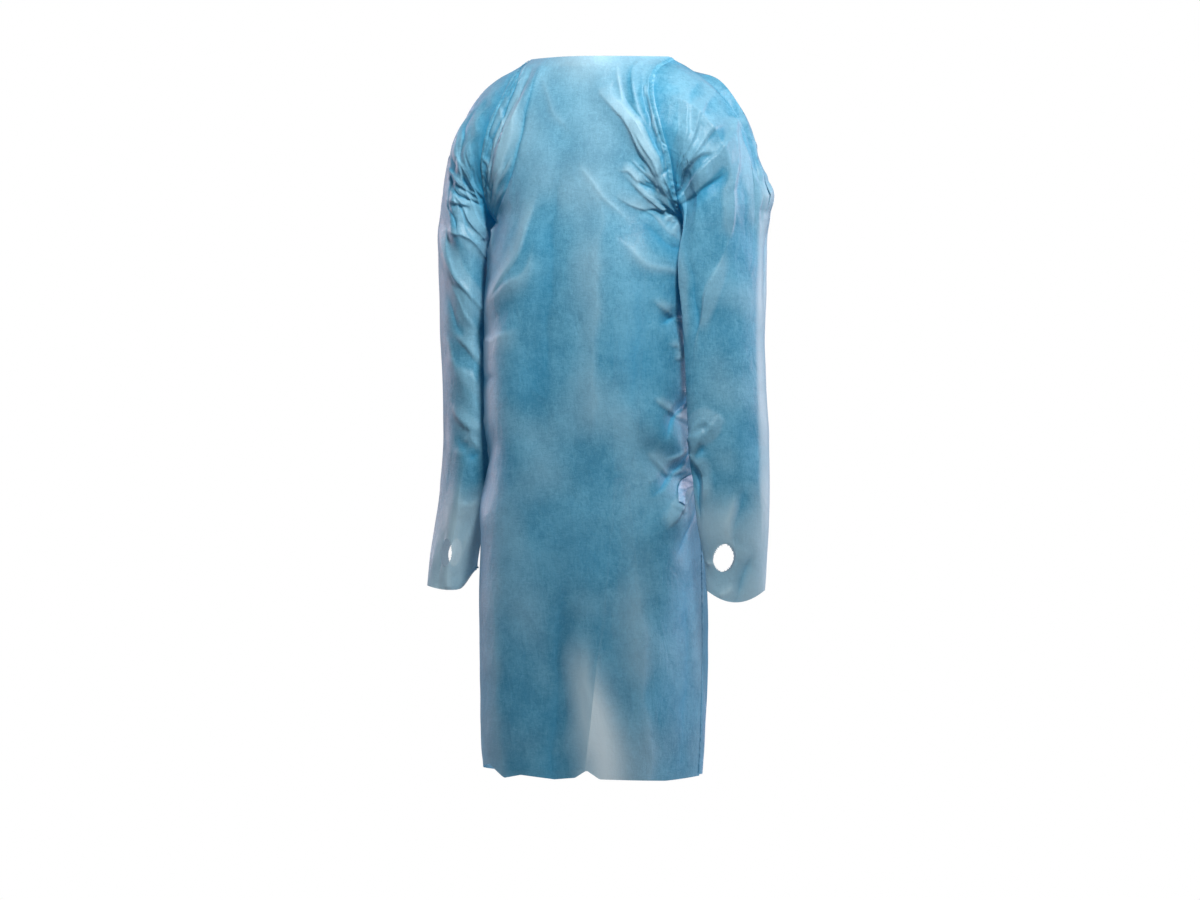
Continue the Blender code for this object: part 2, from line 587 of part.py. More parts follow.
def tie_grid(front, back, path):
    """The strip along a path from its front end, round the left side, to the knot."""
    last = len(path) - 1.0
    rows = []
    for place in np.linspace(0.0, last, TIE_STEPS * (len(path) - 1) + 1):
        girth, z, width = (float(read_smooth(path, n, place)) for n in TiePoint._fields)
        near = np.clip([place - 0.2, place + 0.2], 0.0, last)
        run = np.diff(read_smooth(path, "girth", near))[0] * BODY_GIRTH / 2
        lean = math.atan2(np.diff(read_smooth(path, "z", near))[0], run)
        row = []
        for across in (-width / 2, 0.0, width / 2):
            girth_here = girth - across * math.sin(lean) / (BODY_GIRTH / 2)
            point, normal = on_panels(front, back, girth_here, z + across * math.cos(lean))
            row.append(point + normal * (WALL + TIE_CLEAR))
        rows.append(row)
    knot_edge = np.array([KNOT_SIZE[0] / 2 + SEAM_GAP, knot_y(back), KNOT_Z])
    half = PINCH_AT_KNOT * path[-1].width / 2
    rows.append([knot_edge + np.array([0.0, 0.0, side * half]) for side in (-1.0, 0.0, 1.0)])
    return np.array(rows)


def knot_y(back):
    """How far back the knot's middle lies."""
    column = back[:, -1]
    rows = len(column) - RING_HALF
    return float(np.interp(KNOT_Z, column[:rows, 2], column[:rows, 1])) + KNOT_STANDS_OFF


def tail_grid(back):
    """One of the tie's two free ends, hanging from the knot."""
    rows = []
    last = len(TAIL_PATH) - 1.0
    for place in np.linspace(0.0, last, TAIL_STEPS * (len(TAIL_PATH) - 1) + 1):
        x, y, drop, turn = (float(read_smooth(TAIL_PATH, n, place)) for n in TailPoint._fields)
        width = TAIL_WIDTH * (TAIL_TOP + (1 - TAIL_TOP) * min(place, 1.0))
        way = np.array([math.cos(math.radians(turn)), math.sin(math.radians(turn)), 0.0])
        middle = np.array([x + TAIL_WIDTH * 0.25, knot_y(back) + y, KNOT_Z - drop])
        rows.append([middle + way * width * across for across in (-0.5, 0.0, 0.5)])
    return np.array(rows)


def make_knot(back, collection, material):
    """The knot as a squashed ball with a waist."""
    bm = bmesh.new()
    bmesh.ops.create_uvsphere(bm, u_segments=16, v_segments=10, radius=0.5)
    for vert in bm.verts:
        waist = 1 - KNOT_WAIST * math.exp(-((vert.co.x / KNOT_WAIST_REACH) ** 2))
        vert.co.y *= waist
        vert.co.z *= waist
    mesh = bpy.data.meshes.new("tie_knot")
    bm.to_mesh(mesh)
    bm.free()
    mesh.transform(Matrix.Diagonal((*KNOT_SIZE, 1.0)))
    mesh.shade_smooth()
    knot = new_object("tie_knot", mesh, collection, material)
    knot.location = (0.0, knot_y(back), KNOT_Z)
    return knot


# ---- The gown -----------------------------------------------------------------------------------
def film_material(name, colour, roughness):
    material = bpy.data.materials.new(name)
    material.use_nodes = True
    shader = material.node_tree.nodes["Principled BSDF"]
    shader.inputs["Base Color"].default_value = colour
    shader.inputs["Roughness"].default_value = roughness
    shader.inputs["Metallic"].default_value = 0.0
    return material


def clear_scene():
    for obj in list(bpy.data.objects):
        bpy.data.objects.remove(obj)


def build_gown():
    clear_scene()
    gown = bpy.data.collections.new("isolation_gown")
    cutters = bpy.data.collections.new("cutters")
    bpy.context.scene.collection.children.link(gown)
    bpy.context.scene.collection.children.link(cutters)
    film = film_material("coated_film", FILM_BLUE, 0.42)
    tie_film = film_material("tie_film", TIE_BLUE, 0.40)

    front, back = front_grid(), back_grid()
    cloth_piece("front_panel", front, gown, film)
    cloth_piece("back_panel_left", back, gown, film)
    cloth_piece("back_panel_right", mirrored(back), gown, film)

    for name, side, rows, folds, cuff, fullness in (
        ("sleeve_left", 1, LEFT_SLEEVE, LEFT_SLEEVE_FOLDS, LEFT_CUFF, LEFT_FULLNESS),
        ("sleeve_right", -1, RIGHT_SLEEVE, RIGHT_SLEEVE_FOLDS, RIGHT_CUFF, RIGHT_FULLNESS),
    ):
        grid = sleeve_grid(front, back, rows, folds, cuff, fullness)
        grid = grid if side > 0 else mirrored(grid)
        sleeve = cloth_piece(name, grid, gown, film, ring=True, centre_line=sleeve_axis(rows, side))
        cut_thumb_hole(sleeve, rows, cuff, side, cutters)

    right_half = mirrored(front)[:, ::-1]
    right_tie = mirrored(tie_grid(right_half, back, TIE_PATH[LOOSE_END_POINTS:]))
    cloth_piece("waist_tie_left", tie_grid(front, back, TIE_PATH), gown, tie_film)
    cloth_piece("waist_tie_right", right_tie, gown, tie_film)
    tail = tail_grid(back)
    cloth_piece("tie_tail_left", tail, gown, tie_film)
    cloth_piece("tie_tail_right", mirrored(tail), gown, tie_film)
    make_knot(back, gown, tie_film)


build_gown()
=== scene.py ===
import math
import random

import bpy
import numpy as np
from mathutils import Euler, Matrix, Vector, noise


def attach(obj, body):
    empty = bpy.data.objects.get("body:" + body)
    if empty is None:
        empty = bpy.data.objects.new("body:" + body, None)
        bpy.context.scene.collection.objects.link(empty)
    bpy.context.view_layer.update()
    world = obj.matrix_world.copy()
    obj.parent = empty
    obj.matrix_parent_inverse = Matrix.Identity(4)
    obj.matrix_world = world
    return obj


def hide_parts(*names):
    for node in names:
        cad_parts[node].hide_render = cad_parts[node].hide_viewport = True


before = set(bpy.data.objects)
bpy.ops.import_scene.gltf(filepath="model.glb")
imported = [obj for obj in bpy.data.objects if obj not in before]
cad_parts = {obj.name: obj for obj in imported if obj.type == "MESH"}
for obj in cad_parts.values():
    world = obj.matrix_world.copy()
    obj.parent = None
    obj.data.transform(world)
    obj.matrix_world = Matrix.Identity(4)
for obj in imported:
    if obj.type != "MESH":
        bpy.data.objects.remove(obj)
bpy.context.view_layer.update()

# Isolation gown of thin coated cloth. Metres, +Z up, front faces -Y, the wearer's left is +X.

cloth = {
    "fineness": 12,  # rows of the fine mesh for each coarse step of a section
    "frontColumns": 196,
    "backColumns": 80,
    "halfRing": 180,  # points of one armhole half, and half the points round a sleeve
    "shoulderRings": 120,
    "seamLift": 0.0004,  # how far a piece sewn on top lies above its neighbour
    "seamReach": 0.03,  # share of a panel over which its creases die out at a side seam
    "armpitRow": 8.0,  # the section at which a panel's side seam ends and its armhole begins
    "seenFrom": 25.0,  # degrees that the camera stands round to the wearer's left
}

crease = {
    "wander": 0.0021,  # how far one strays from its line
    "height": 0.82,  # share of the height in its row
    "fadeIn": 0.35,  # share of its length over which an end comes to full height
    "leanSpread": 8,  # widths that the gentle side gains for a lean of 1
    "steepShare": 0.68,  # of the width, on the steep side of one that leans
    "flatDrop": 0.62,  # how fast the gentle side falls, in its own widths
    "sharpness": 1.15,  # 1 is pinched and 2 is round
}

shade = {  # where the film's colour carries painted shade and painted light, and where it is crinkled or sheer
    "creaseHeight": 0.006,  # a crease this high changes the tone by 1: its hollow is painted deeper as painted shade and its ridge paler as painted highlight, with the deeper colour of folded layers
    "panelTones": (-0.5, 0.3),  # the least and the most that a panel's creases change it by, from painted shade to painted highlight
    "sleeveTones": (-0.5, 0.2),
    "armReach": 0.014,  # over which the painted shade at an armhole, where the cloth bunches, dies away
    # the armpit, where the panels are painted deeper as painted shade
    "armpitZ": -0.265,
    "armpitReach": 0.035,
    "armpitPaintedShade": 0.5,
    # painted light: the panels grow paler towards the shoulders and neck
    "chestPaintedLight": 0.20,
    "chestRise": (-0.34, -0.06),  # z between which the painted light on the chest grows
    "crinkle": 0.12,  # everywhere
    "sideCrinkle": 0.5,  # more at the side seams
    "sideReach": 0.03,
    "armCrinkle": 0.9,  # more at the top of a sleeve
    "elbowCrinkle": 0.35,
    "elbowZ": -0.58,
    "elbowReach": 0.07,
    # sheer places are more see-through and are painted paler, a painted backlight
    "hemSheerAndBacklight": 1.05,
    "hemWidth": 0.028,
    "neckSheerAndBacklight": 0.3,
    "neckWidth": 0.07,
    "outerSheerAndBacklight": 0.64,
    "cuffSheerAndBacklight": 0.60,
}


# surfaces


def fade(value, low, high):
    t = np.clip((value - low) / (high - low), 0.0, 1.0)
    return t * t * (3 - 2 * t)


def easeBetween(t, start, leave, end, arrive):  # a cubic with given slopes at its two ends
    return (
        start * (2 * t**3 - 3 * t**2 + 1)
        + leave * (t**3 - 2 * t**2 + t)
        + end * (3 * t**2 - 2 * t**3)
        + arrive * (t**3 - t**2)
    )


def readSmooth(rows, column, place):  # a curve through one column that never overshoots its rows
    values = np.array([row[column] for row in rows], float)
    steps = np.diff(values)
    before, after = np.append(steps[:1], steps), np.append(steps, steps[-1:])
    turning = before * after <= 0
    slopes = np.where(turning, 0.0, 2 * before * after / np.where(turning, 1.0, before + after))
    i = np.clip(np.floor(place).astype(int), 0, len(values) - 2)
    return easeBetween(place - i, values[i], slopes[i], values[i + 1], slopes[i + 1])


def meshPlaces(rows, steps):
    places = [
        i + step / (count * cloth["fineness"])
        for i, count in enumerate(steps)
        for step in range(count * cloth["fineness"])
    ]
    return np.array(places + [len(rows) - 1.0])


def gridNormals(grid, ring=False):
    if ring:
        around = np.roll(grid, -1, axis=1) - np.roll(grid, 1, axis=1)
    else:
        around = np.gradient(grid, axis=1)
    normals = np.cross(around, np.gradient(grid, axis=0))
    return normals / np.maximum(np.linalg.norm(normals, axis=2, keepdims=True), 1e-12)


def foldHeight(folds, x, z, scale):  # the broad folds, straight from one place to another
    total = np.zeros_like(z)
    for fromX, fromZ, toX, toZ, width, height in folds:
        fromX, toX = fromX * scale, toX * scale
        wayX, wayZ = toX - fromX, toZ - fromZ
        along = np.clip(((x - fromX) * wayX + (z - fromZ) * wayZ) / (wayX**2 + wayZ**2), 0.0, 1.0)
        off = np.hypot(x - fromX - along * wayX, z - fromZ - along * wayZ)
        total += height * (0.55 + 0.45 * np.sin(math.pi * along)) * np.exp(-((off / width) ** 2))
    return total


def smoothPath(path, cuts=4):
    path = np.array(path, float)
    places = np.linspace(0.0, len(path) - 1.0, cuts * (len(path) - 1) + 1)
    return np.stack([readSmooth(path, column, places) for column in (0, 1)], axis=-1)


def nearestOnLine(line, x, z):
    # how far off the line each point lies, on which side, at what share of it and how far past its ends
    runs = np.linalg.norm(np.diff(line, axis=0), axis=1)
    ends = np.append(0.0, np.cumsum(runs)) / runs.sum()
    best = np.full(x.shape, np.inf)
    side, share, past = np.zeros(x.shape), np.zeros(x.shape), np.zeros(x.shape)
    for a, b, shareA, shareB in zip(line[:-1], line[1:], ends[:-1], ends[1:]):
        way = b - a
        along = ((x - a[0]) * way[0] + (z - a[1]) * way[1]) / (way @ way)
        beyond = np.maximum(-along if shareA == 0 else 0.0, along - 1 if shareB == 1 else 0.0)
        beyond = np.maximum(beyond, 0.0) * math.sqrt(way @ way)
        along = np.clip(along, 0.0, 1.0)
        offX, offZ = x - a[0] - along * way[0], z - a[1] - along * way[1]
        off = np.hypot(offX, offZ)
        closer = off < best
        best = np.where(closer, off, best)
        side = np.where(closer, np.sign(offX * way[1] - offZ * way[0]), side)
        share = np.where(closer, shareA + (shareB - shareA) * along, share)
        past = np.where(closer, beyond, past)
    return best, side, share, past


def creaseHeight(creases, x, z, scale, stretch=1.0):  # sharp creases along curved paths
    stray = crease["wander"]
    stretch = stretch + 0 * z
    x = x + stray * (np.sin(41 * z + 23 * x) + 0.6 * np.sin(97 * z - 61 * x + 1.1))
    z = z + stray * (np.sin(53 * x - 19 * z + 2.0) + 0.5 * np.sin(131 * x + 47 * z))
    total = np.zeros_like(z)
    for path, width, height, start, end, lean in creases:
        line = smoothPath(path) * (scale, 1.0)
        spread = 1 + crease["leanSpread"] * abs(lean)
        reach = 4 * width * spread
        low, high = line.min(axis=0) - reach, line.max(axis=0) + reach
        near = (x > low[0]) & (x < high[0]) & (z > low[1]) & (z < high[1])
        if not near.any():
            continue
        off, side, share, past = nearestOnLine(line, x[near], z[near])
        strength = start + (1 - start) * fade(share, 0.0, crease["fadeIn"])
        strength *= end + (1 - end) * fade(1 - share, 0.0, crease["fadeIn"])
        strength *= np.exp(-((past / (2 * width)) ** 2))
        gentle = side * lean > 0  # the side that falls away slowly, in a flat slope
        steep = crease["steepShare"] if lean else 1.0
        drop = off * stretch[near] / (width * np.where(gentle, spread, steep))
        flat = np.maximum(1 - crease["flatDrop"] * drop, 0.0)
        profile = np.where(gentle, flat, np.exp(-(drop ** crease["sharpness"])))
        total[near] += crease["height"] * height * strength * profile
    return total


def smallCreases(seed, count, span, depths, lengths, sway):
    # short straight creases: span and lengths are shares across the panel, depths metres below its neck
    dice = random.Random(seed)
    found = []
    for _ in range(count):
        start = dice.uniform(*span)
        end = start + dice.uniform(*lengths) * dice.choice((-1, 1))
        depth = dice.uniform(*depths)
        turn = dice.uniform(-sway, sway)
        ends = ((start, 0.0), ((start + end) / 2, 0.5), (end, 1.0))
        path = [(place, -depth - turn * (share - 0.5)) for place, share in ends]
        height = dice.uniform(0.0010, 0.0024) * dice.choice((-1, 1))
        width = dice.uniform(0.0014, 0.0024)
        lean = dice.choice((-1, 1)) * dice.uniform(0.1, 0.3)
        found.append((path, width, height, 0.0, 0.0, lean))
    return found


def facingCreases(creases, grid, normals):  # laid out as the camera sees them
    angle = math.radians(cloth["seenFrom"])
    across = grid[..., 0] * math.cos(angle) + grid[..., 1] * math.sin(angle)
    toCamera = normals[..., 0] * math.sin(angle) - normals[..., 1] * math.cos(angle)
    return fade(toCamera, 0.05, 0.35) * creaseHeight(creases, across, grid[..., 2], 1.0)


def fanCreases(seed, count, centre, angles, starts, lengths, scale):
    # straight creases that run out from one point, as where a sleeve pulls at the armpit
    dice = random.Random(seed)
    found = []
    for step in range(count):
        angle = angles[0] + (angles[1] - angles[0]) * (step + dice.uniform(0.15, 0.85)) / count
        bend = dice.uniform(-7.0, 7.0)
        start = dice.uniform(*starts)
        length = dice.uniform(*lengths)
        path = []
        for share in (0.0, 0.5, 1.0):
            turn = math.radians(angle + bend * share)
            out = start + length * share
            path.append((centre[0] + out * math.cos(turn) / scale, centre[1] + out * math.sin(turn)))
        height = dice.uniform(0.0014, 0.0030) * (-1) ** step
        lean = dice.choice((-1, 1)) * dice.uniform(0.15, 0.5)
        found.append((path, dice.uniform(0.0018, 0.0026), height, 0.6, 0.0, lean))
    return found


def fansOf(fans, flip, seed, scale):  # every fan of a table, on the side that flip gives
    found = []
    for k, (count, place, height, angles, starts, lengths) in enumerate(fans):
        angles = angles if flip > 0 else (180.0 - angles[0], 180.0 - angles[1])
        centre = (flip * place, height)
        found += fanCreases(seed + flip + 20 * k, count, centre, angles, starts, lengths, scale)
    return found


def noiseOver(grid, size, seed, read):
    shift = Vector((seed * 7.3, seed * 3.1, seed * 5.7))
    flat = [read(Vector(p) / size + shift) for p in grid.reshape(-1, 3)]
    return np.array(flat).reshape(grid.shape[:2])


def crumple(grid, size, seed):  # small sharp buckles, 0 to about 1
    return noiseOver(grid, size, seed, lambda p: noise.ridged_multi_fractal(p, 0.9, 2.1, 4, 1.0, 2.0)) - 1.0


def softNoise(grid, size, seed):
    return noiseOver(grid, size, seed, noise.noise)


# shader groups


def newGroup(name, inputs, outputs):
    group = bpy.data.node_groups.new(name, "ShaderNodeTree")
    for label, value in inputs:
        socket = group.interface.new_socket(name=label, in_out="INPUT", socket_type="NodeSocketFloat")
        socket.default_value = value
    for label in outputs:
        group.interface.new_socket(name=label, in_out="OUTPUT", socket_type="NodeSocketFloat")
    return group, group.nodes.new("NodeGroupInput"), group.nodes.new("NodeGroupOutput")


def addNode(tree, kind, **values):
    node = tree.nodes.new(kind)
    for key, value in values.items():
        setattr(node, key, value)
    return node


def feed(tree, value, socket):  # a link from another node, or a plain value
    if isinstance(value, bpy.types.NodeSocket):
        tree.links.new(value, socket)
    else:
        socket.default_value = value


def mathNode(tree, operation, a, b, clamp=False):
    node = addNode(tree, "ShaderNodeMath", operation=operation, use_clamp=clamp)
    feed(tree, a, node.inputs[0])
    feed(tree, b, node.inputs[1])
    return node.outputs[0]


def weighted(tree, *parts):  # the sum of some values, each times its weight
    total = None
    for value, weight in parts:
        part = mathNode(tree, "MULTIPLY", value, weight)
        total = part if total is None else mathNode(tree, "ADD", total, part)
    return total


def mapRange(tree, value, low, high, toLow=0.0, toHigh=1.0):
    node = addNode(tree, "ShaderNodeMapRange", interpolation_type="SMOOTHSTEP")
    tree.links.new(value, node.inputs["Value"])
    for label, number in (("From Min", low), ("From Max", high), ("To Min", toLow), ("To Max", toHigh)):
        node.inputs[label].default_value = number
    return node.outputs["Result"]


def noiseNode(tree, scale, detail, rough, distort=0.0, stretch=None, turn=(0.0, 0.0, 0.0)):
    place = tree.nodes.new("ShaderNodeTexCoord").outputs["Object"]
    if stretch:
        mapping = tree.nodes.new("ShaderNodeMapping")
        mapping.inputs["Scale"].default_value = stretch
        mapping.inputs["Rotation"].default_value = turn
        tree.links.new(place, mapping.inputs["Vector"])
        place = mapping.outputs["Vector"]
    node = tree.nodes.new("ShaderNodeTexNoise")
    tree.links.new(place, node.inputs["Vector"])
    values = (("Scale", scale), ("Detail", detail), ("Roughness", rough), ("Distortion", distort))
    for label, value in values:
        feed(tree, value, node.inputs[label])
    return node.outputs["Fac"]


def makeFibreGroup():  # spunbond web: thin and thick clouds with a tangle of fibres in them
    scales = (("Cloud scale", 16.0), ("Fibre scale", 210.0))
    group, given, out = newGroup("spunbondWeb", scales, ("Web", "Height"))
    cloud = noiseNode(group, given.outputs["Cloud scale"], 4.0, 0.62, 0.4)
    tangle = noiseNode(group, given.outputs["Fibre scale"], 3.0, 0.72, 1.6)
    down = noiseNode(group, 1.0, 2.0, 0.65, 1.4, (210.0, 210.0, 60.0), (0.5, 0.6, 0.0))
    over = noiseNode(group, 1.0, 2.0, 0.65, 1.4, (80.0, 80.0, 210.0), (-0.5, 0.45, 0.3))
    fibre = weighted(group, (down, 0.34), (over, 0.34), (tangle, 0.32))
    web = weighted(group, (cloud, 0.40), (fibre, 0.60))
    group.links.new(mapRange(group, web, 0.36, 0.64), out.inputs["Web"])
    group.links.new(mapRange(group, fibre, 0.30, 0.70), out.inputs["Height"])
    return group


def cellNode(tree, scale, stretch, turn, shake):  # cones that meet in straight, sharp lines
    place = tree.nodes.new("ShaderNodeTexCoord").outputs["Object"]
    stir = addNode(tree, "ShaderNodeTexNoise")
    tree.links.new(place, stir.inputs["Vector"])
    stir.inputs["Scale"].default_value = 14.0
    moved = addNode(tree, "ShaderNodeVectorMath", operation="MULTIPLY_ADD")
    tree.links.new(stir.outputs["Color"], moved.inputs[0])
    moved.inputs[1].default_value = (shake, shake, shake)
    tree.links.new(place, moved.inputs[2])
    mapping = tree.nodes.new("ShaderNodeMapping")
    mapping.inputs["Scale"].default_value = stretch
    mapping.inputs["Rotation"].default_value = turn
    tree.links.new(moved.outputs[0], mapping.inputs["Vector"])
    cells = addNode(tree, "ShaderNodeTexVoronoi", feature="F1")
    tree.links.new(mapping.outputs["Vector"], cells.inputs["Vector"])
    cells.inputs["Scale"].default_value = scale
    return cells.outputs["Distance"]


def makeCrinkleGroup():  # the straight pinched lines of a plastic coat
    group, given, out = newGroup("coatCrinkle", (("Amount", 0.5),), ("Height",))
    large = cellNode(group, 30.0, (1.0, 1.0, 0.38), (0.25, 0.30, 0.0), 0.016)
    small = cellNode(group, 78.0, (1.0, 1.0, 0.45), (-0.30, -0.22, 0.4), 0.008)
    where = mapRange(group, noiseNode(group, 9.0, 1.0, 0.5), 0.36, 0.64, 0.25, 1.0)
    some = mathNode(group, "MULTIPLY", where, mathNode(group, "MULTIPLY", given.outputs["Amount"], 0.3))
    both = weighted(group, (large, 1.0), (small, 0.36))
    soft = noiseNode(group, 34.0, 2.0, 0.6, 0.8, (1.0, 1.0, 0.5))
    group.links.new(weighted(group, (both, some), (soft, 0.10)), out.inputs["Height"])
    return group


def placeGroup(tree, group, **values):
    node = tree.nodes.new("ShaderNodeGroup")
    node.node_tree = group
    for label, value in values.items():
        feed(tree, value, node.inputs[label.replace("_", " ")])
    return node


def linearColour(red, green, blue):  # from the 0 to 255 values that a colour picker shows
    parts = [c / 255 for c in (red, green, blue)]
    return tuple(((c + 0.055) / 1.055) ** 2.4 if c > 0.04045 else c / 12.92 for c in parts) + (1.0,)


def mixColours(tree, factor, a, b):
    mix = addNode(tree, "ShaderNodeMix", data_type="RGBA")
    tree.links.new(factor, mix.inputs["Factor"])
    for label, value in (("A", a), ("B", b)):
        value = linearColour(*value) if isinstance(value, tuple) else value
        feed(tree, value, mix.inputs[label])
    return mix.outputs["Result"]


def mixShaders(tree, factor, a, b):
    mix = tree.nodes.new("ShaderNodeMixShader")
    feed(tree, factor, mix.inputs["Fac"])
    tree.links.new(a.outputs[0], mix.inputs[1])
    tree.links.new(b.outputs[0], mix.inputs[2])
    return mix


def bumpNode(tree, height, strength, distance):
    bump = addNode(tree, "ShaderNodeBump")
    bump.inputs["Strength"].default_value = strength
    bump.inputs["Distance"].default_value = distance
    tree.links.new(height, bump.inputs["Height"])
    return bump


def filmMaterial(name, look):
    material = bpy.data.materials.new(name)
    material.use_nodes = True
    tree = material.node_tree
    tree.nodes.clear()
    out = tree.nodes.new("ShaderNodeOutputMaterial")
    # the film attribute: x is painted light above 0 and painted shade below it, where the cloth also
    # bunches; y crinkles, z lets light through
    film = tree.nodes.new("ShaderNodeSeparateXYZ")
    given = addNode(tree, "ShaderNodeAttribute", attribute_name="film")
    tree.links.new(given.outputs["Vector"], film.inputs[0])
    web = placeGroup(tree, fibreGroup, Cloud_scale=look["cloudScale"], Fibre_scale=look["fibreScale"])
    amount = mathNode(tree, "ADD", film.outputs["Y"], look["crinkle"])
    crinkle = placeGroup(tree, crinkleGroup, Amount=amount)
    # painted light above 0, and painted shade with bunched cloth below it
    paler = mathNode(tree, "MAXIMUM", film.outputs["X"], 0.0, clamp=True)
    bunchedAndShadeShare = mathNode(tree, "MULTIPLY", film.outputs["X"], -1.0, clamp=True)

    # the pale and dense colours paint light and shade over the film's own thin and thick mottle
    def filmColour(thin, thick, pale, dense):
        plain = mixColours(tree, web.outputs["Web"], thin, thick)
        return mixColours(tree, bunchedAndShadeShare, mixColours(tree, paler, plain, pale), dense)

    coat = tree.nodes.new("ShaderNodeBsdfPrincipled")
    tree.links.new(filmColour(*look["colours"]), coat.inputs["Base Color"])
    rough = mapRange(tree, web.outputs["Web"], 0.0, 1.0, *look["roughness"])
    tree.links.new(rough, coat.inputs["Roughness"])
    coat.inputs["IOR"].default_value = 1.5
    coat.inputs["Specular IOR Level"].default_value = look["shine"]
    coat.inputs["Sheen Weight"].default_value = look["sheen"]
    coat.inputs["Sheen Roughness"].default_value = 0.35
    coat.inputs["Sheen Tint"].default_value = linearColour(198, 190, 222)
    glow = tree.nodes.new("ShaderNodeBsdfTranslucent")
    tree.links.new(filmColour(*look["glowColours"]), glow.inputs["Color"])

    fibreBump = bumpNode(tree, web.outputs["Height"], look["fibreBump"], 0.0006)
    crinkleBump = bumpNode(tree, crinkle.outputs["Height"], look["crinkleBump"], 0.02)
    tree.links.new(fibreBump.outputs["Normal"], crinkleBump.inputs["Normal"])
    for shader in (coat, glow):
        tree.links.new(crinkleBump.outputs["Normal"], shader.inputs["Normal"])

    body = mixShaders(tree, look["glow"], coat, glow)
    cover = mapRange(tree, web.outputs["Web"], 0.0, 1.0, *look["opacity"])
    sheer = mathNode(tree, "MULTIPLY", film.outputs["Z"], look["sheerness"])
    cover = mathNode(tree, "SUBTRACT", cover, sheer)
    whole = mixShaders(tree, cover, tree.nodes.new("ShaderNodeBsdfTransparent"), body)
    tree.links.new(whole.outputs[0], out.inputs["Surface"])
    return material


fibreGroup = makeFibreGroup()
crinkleGroup = makeCrinkleGroup()
coatedFilm = filmMaterial("coatedFilm", {
    # where it is thin and thick, then its painted light (pale) and its painted shade, with bunched cloth
    # (dense)
    "colours": ((60, 130, 160), (100, 166, 194), (180, 208, 218), (24, 146, 190)),
    # the same four for the light that passes through, with the same painted light and shade
    "glowColours": ((48, 138, 172), (94, 172, 198), (184, 212, 224), (16, 160, 204)),
    "opacity": (0.985, 0.999), "sheerness": 0.13,
    "glow": 0.34, "roughness": (0.42, 0.56), "sheen": 0.30, "shine": 0.42,
    "cloudScale": 15.0, "fibreScale": 230.0, "fibreBump": 0.30,
    "crinkle": 0.0, "crinkleBump": 0.7,
})
weldedFilm = filmMaterial("weldedFilm", {  # two or three layers pressed together at a seam
    "colours": ((70, 146, 178), (112, 178, 204), (150, 190, 208), (24, 132, 172)),
    "glowColours": ((58, 150, 186), (104, 184, 208), (150, 200, 220), (14, 150, 192)),
    "opacity": (0.92, 0.99), "sheerness": 0.2,
    "glow": 0.34, "roughness": (0.40, 0.52), "sheen": 0.2, "shine": 0.42,
    "cloudScale": 40.0, "fibreScale": 320.0, "fibreBump": 0.25,
    "crinkle": 0.9, "crinkleBump": 0.8,
})
tieFilm = filmMaterial("tieFilm", {  # folded double, so paler and more opaque
    "colours": ((118, 166, 200), (162, 196, 222), (190, 206, 226), (60, 120, 170)),
    "glowColours": ((110, 176, 210), (156, 202, 228), (180, 210, 230), (50, 130, 180)),
    "opacity": (0.92, 0.99), "sheerness": 0.2,
    "glow": 0.28, "roughness": (0.34, 0.48), "sheen": 0.3, "shine": 0.45,
    "cloudScale": 34.0, "fibreScale": 300.0, "fibreBump": 0.3,
    "crinkle": 0.4, "crinkleBump": 0.6,
})
print("materials made")


# meshes


def surfaceObject(name, grid, material, ring=False, dropped=None, film=None):
    rows, columns = grid.shape[:2]
    r, c = np.meshgrid(np.arange(rows - 1), np.arange(columns if ring else columns - 1), indexing="ij")
    row, nextRow, nextC = r * columns, (r + 1) * columns, (c + 1) % columns
    faces = np.stack([row + c, row + nextC, nextRow + nextC, nextRow + c], -1).reshape(-1, 4)
    points = grid.reshape(-1, 3)
    look = np.zeros((len(points), 3)) if film is None else film.reshape(-1, 3)
    if dropped is not None:
        faces = faces[~dropped.reshape(-1)[faces].all(axis=1)]
        used = np.zeros(len(points), bool)
        used[faces] = True
        index = np.cumsum(used) - 1
        points, faces, look = points[used], index[faces], look[used]
    mesh = bpy.data.meshes.new(name)
    mesh.from_pydata(points.tolist(), [], faces.tolist())
    mesh.shade_smooth()
    mesh.materials.append(material)
    attribute = mesh.attributes.new("film", "FLOAT_VECTOR", "POINT")
    attribute.data.foreach_set("vector", look.astype(np.float32).ravel())
    piece = bpy.data.objects.new(name, mesh)
    bpy.context.scene.collection.objects.link(piece)
    return piece


def finishPiece(piece, slot, *nodes):
    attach(piece, "root")
    if nodes:
        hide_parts(*nodes)
    return piece


def thicken(piece, wall):
    solid = piece.modifiers.new("wall", "SOLIDIFY")
    solid.thickness = wall
    solid.offset = 0.0
    return piece


# body

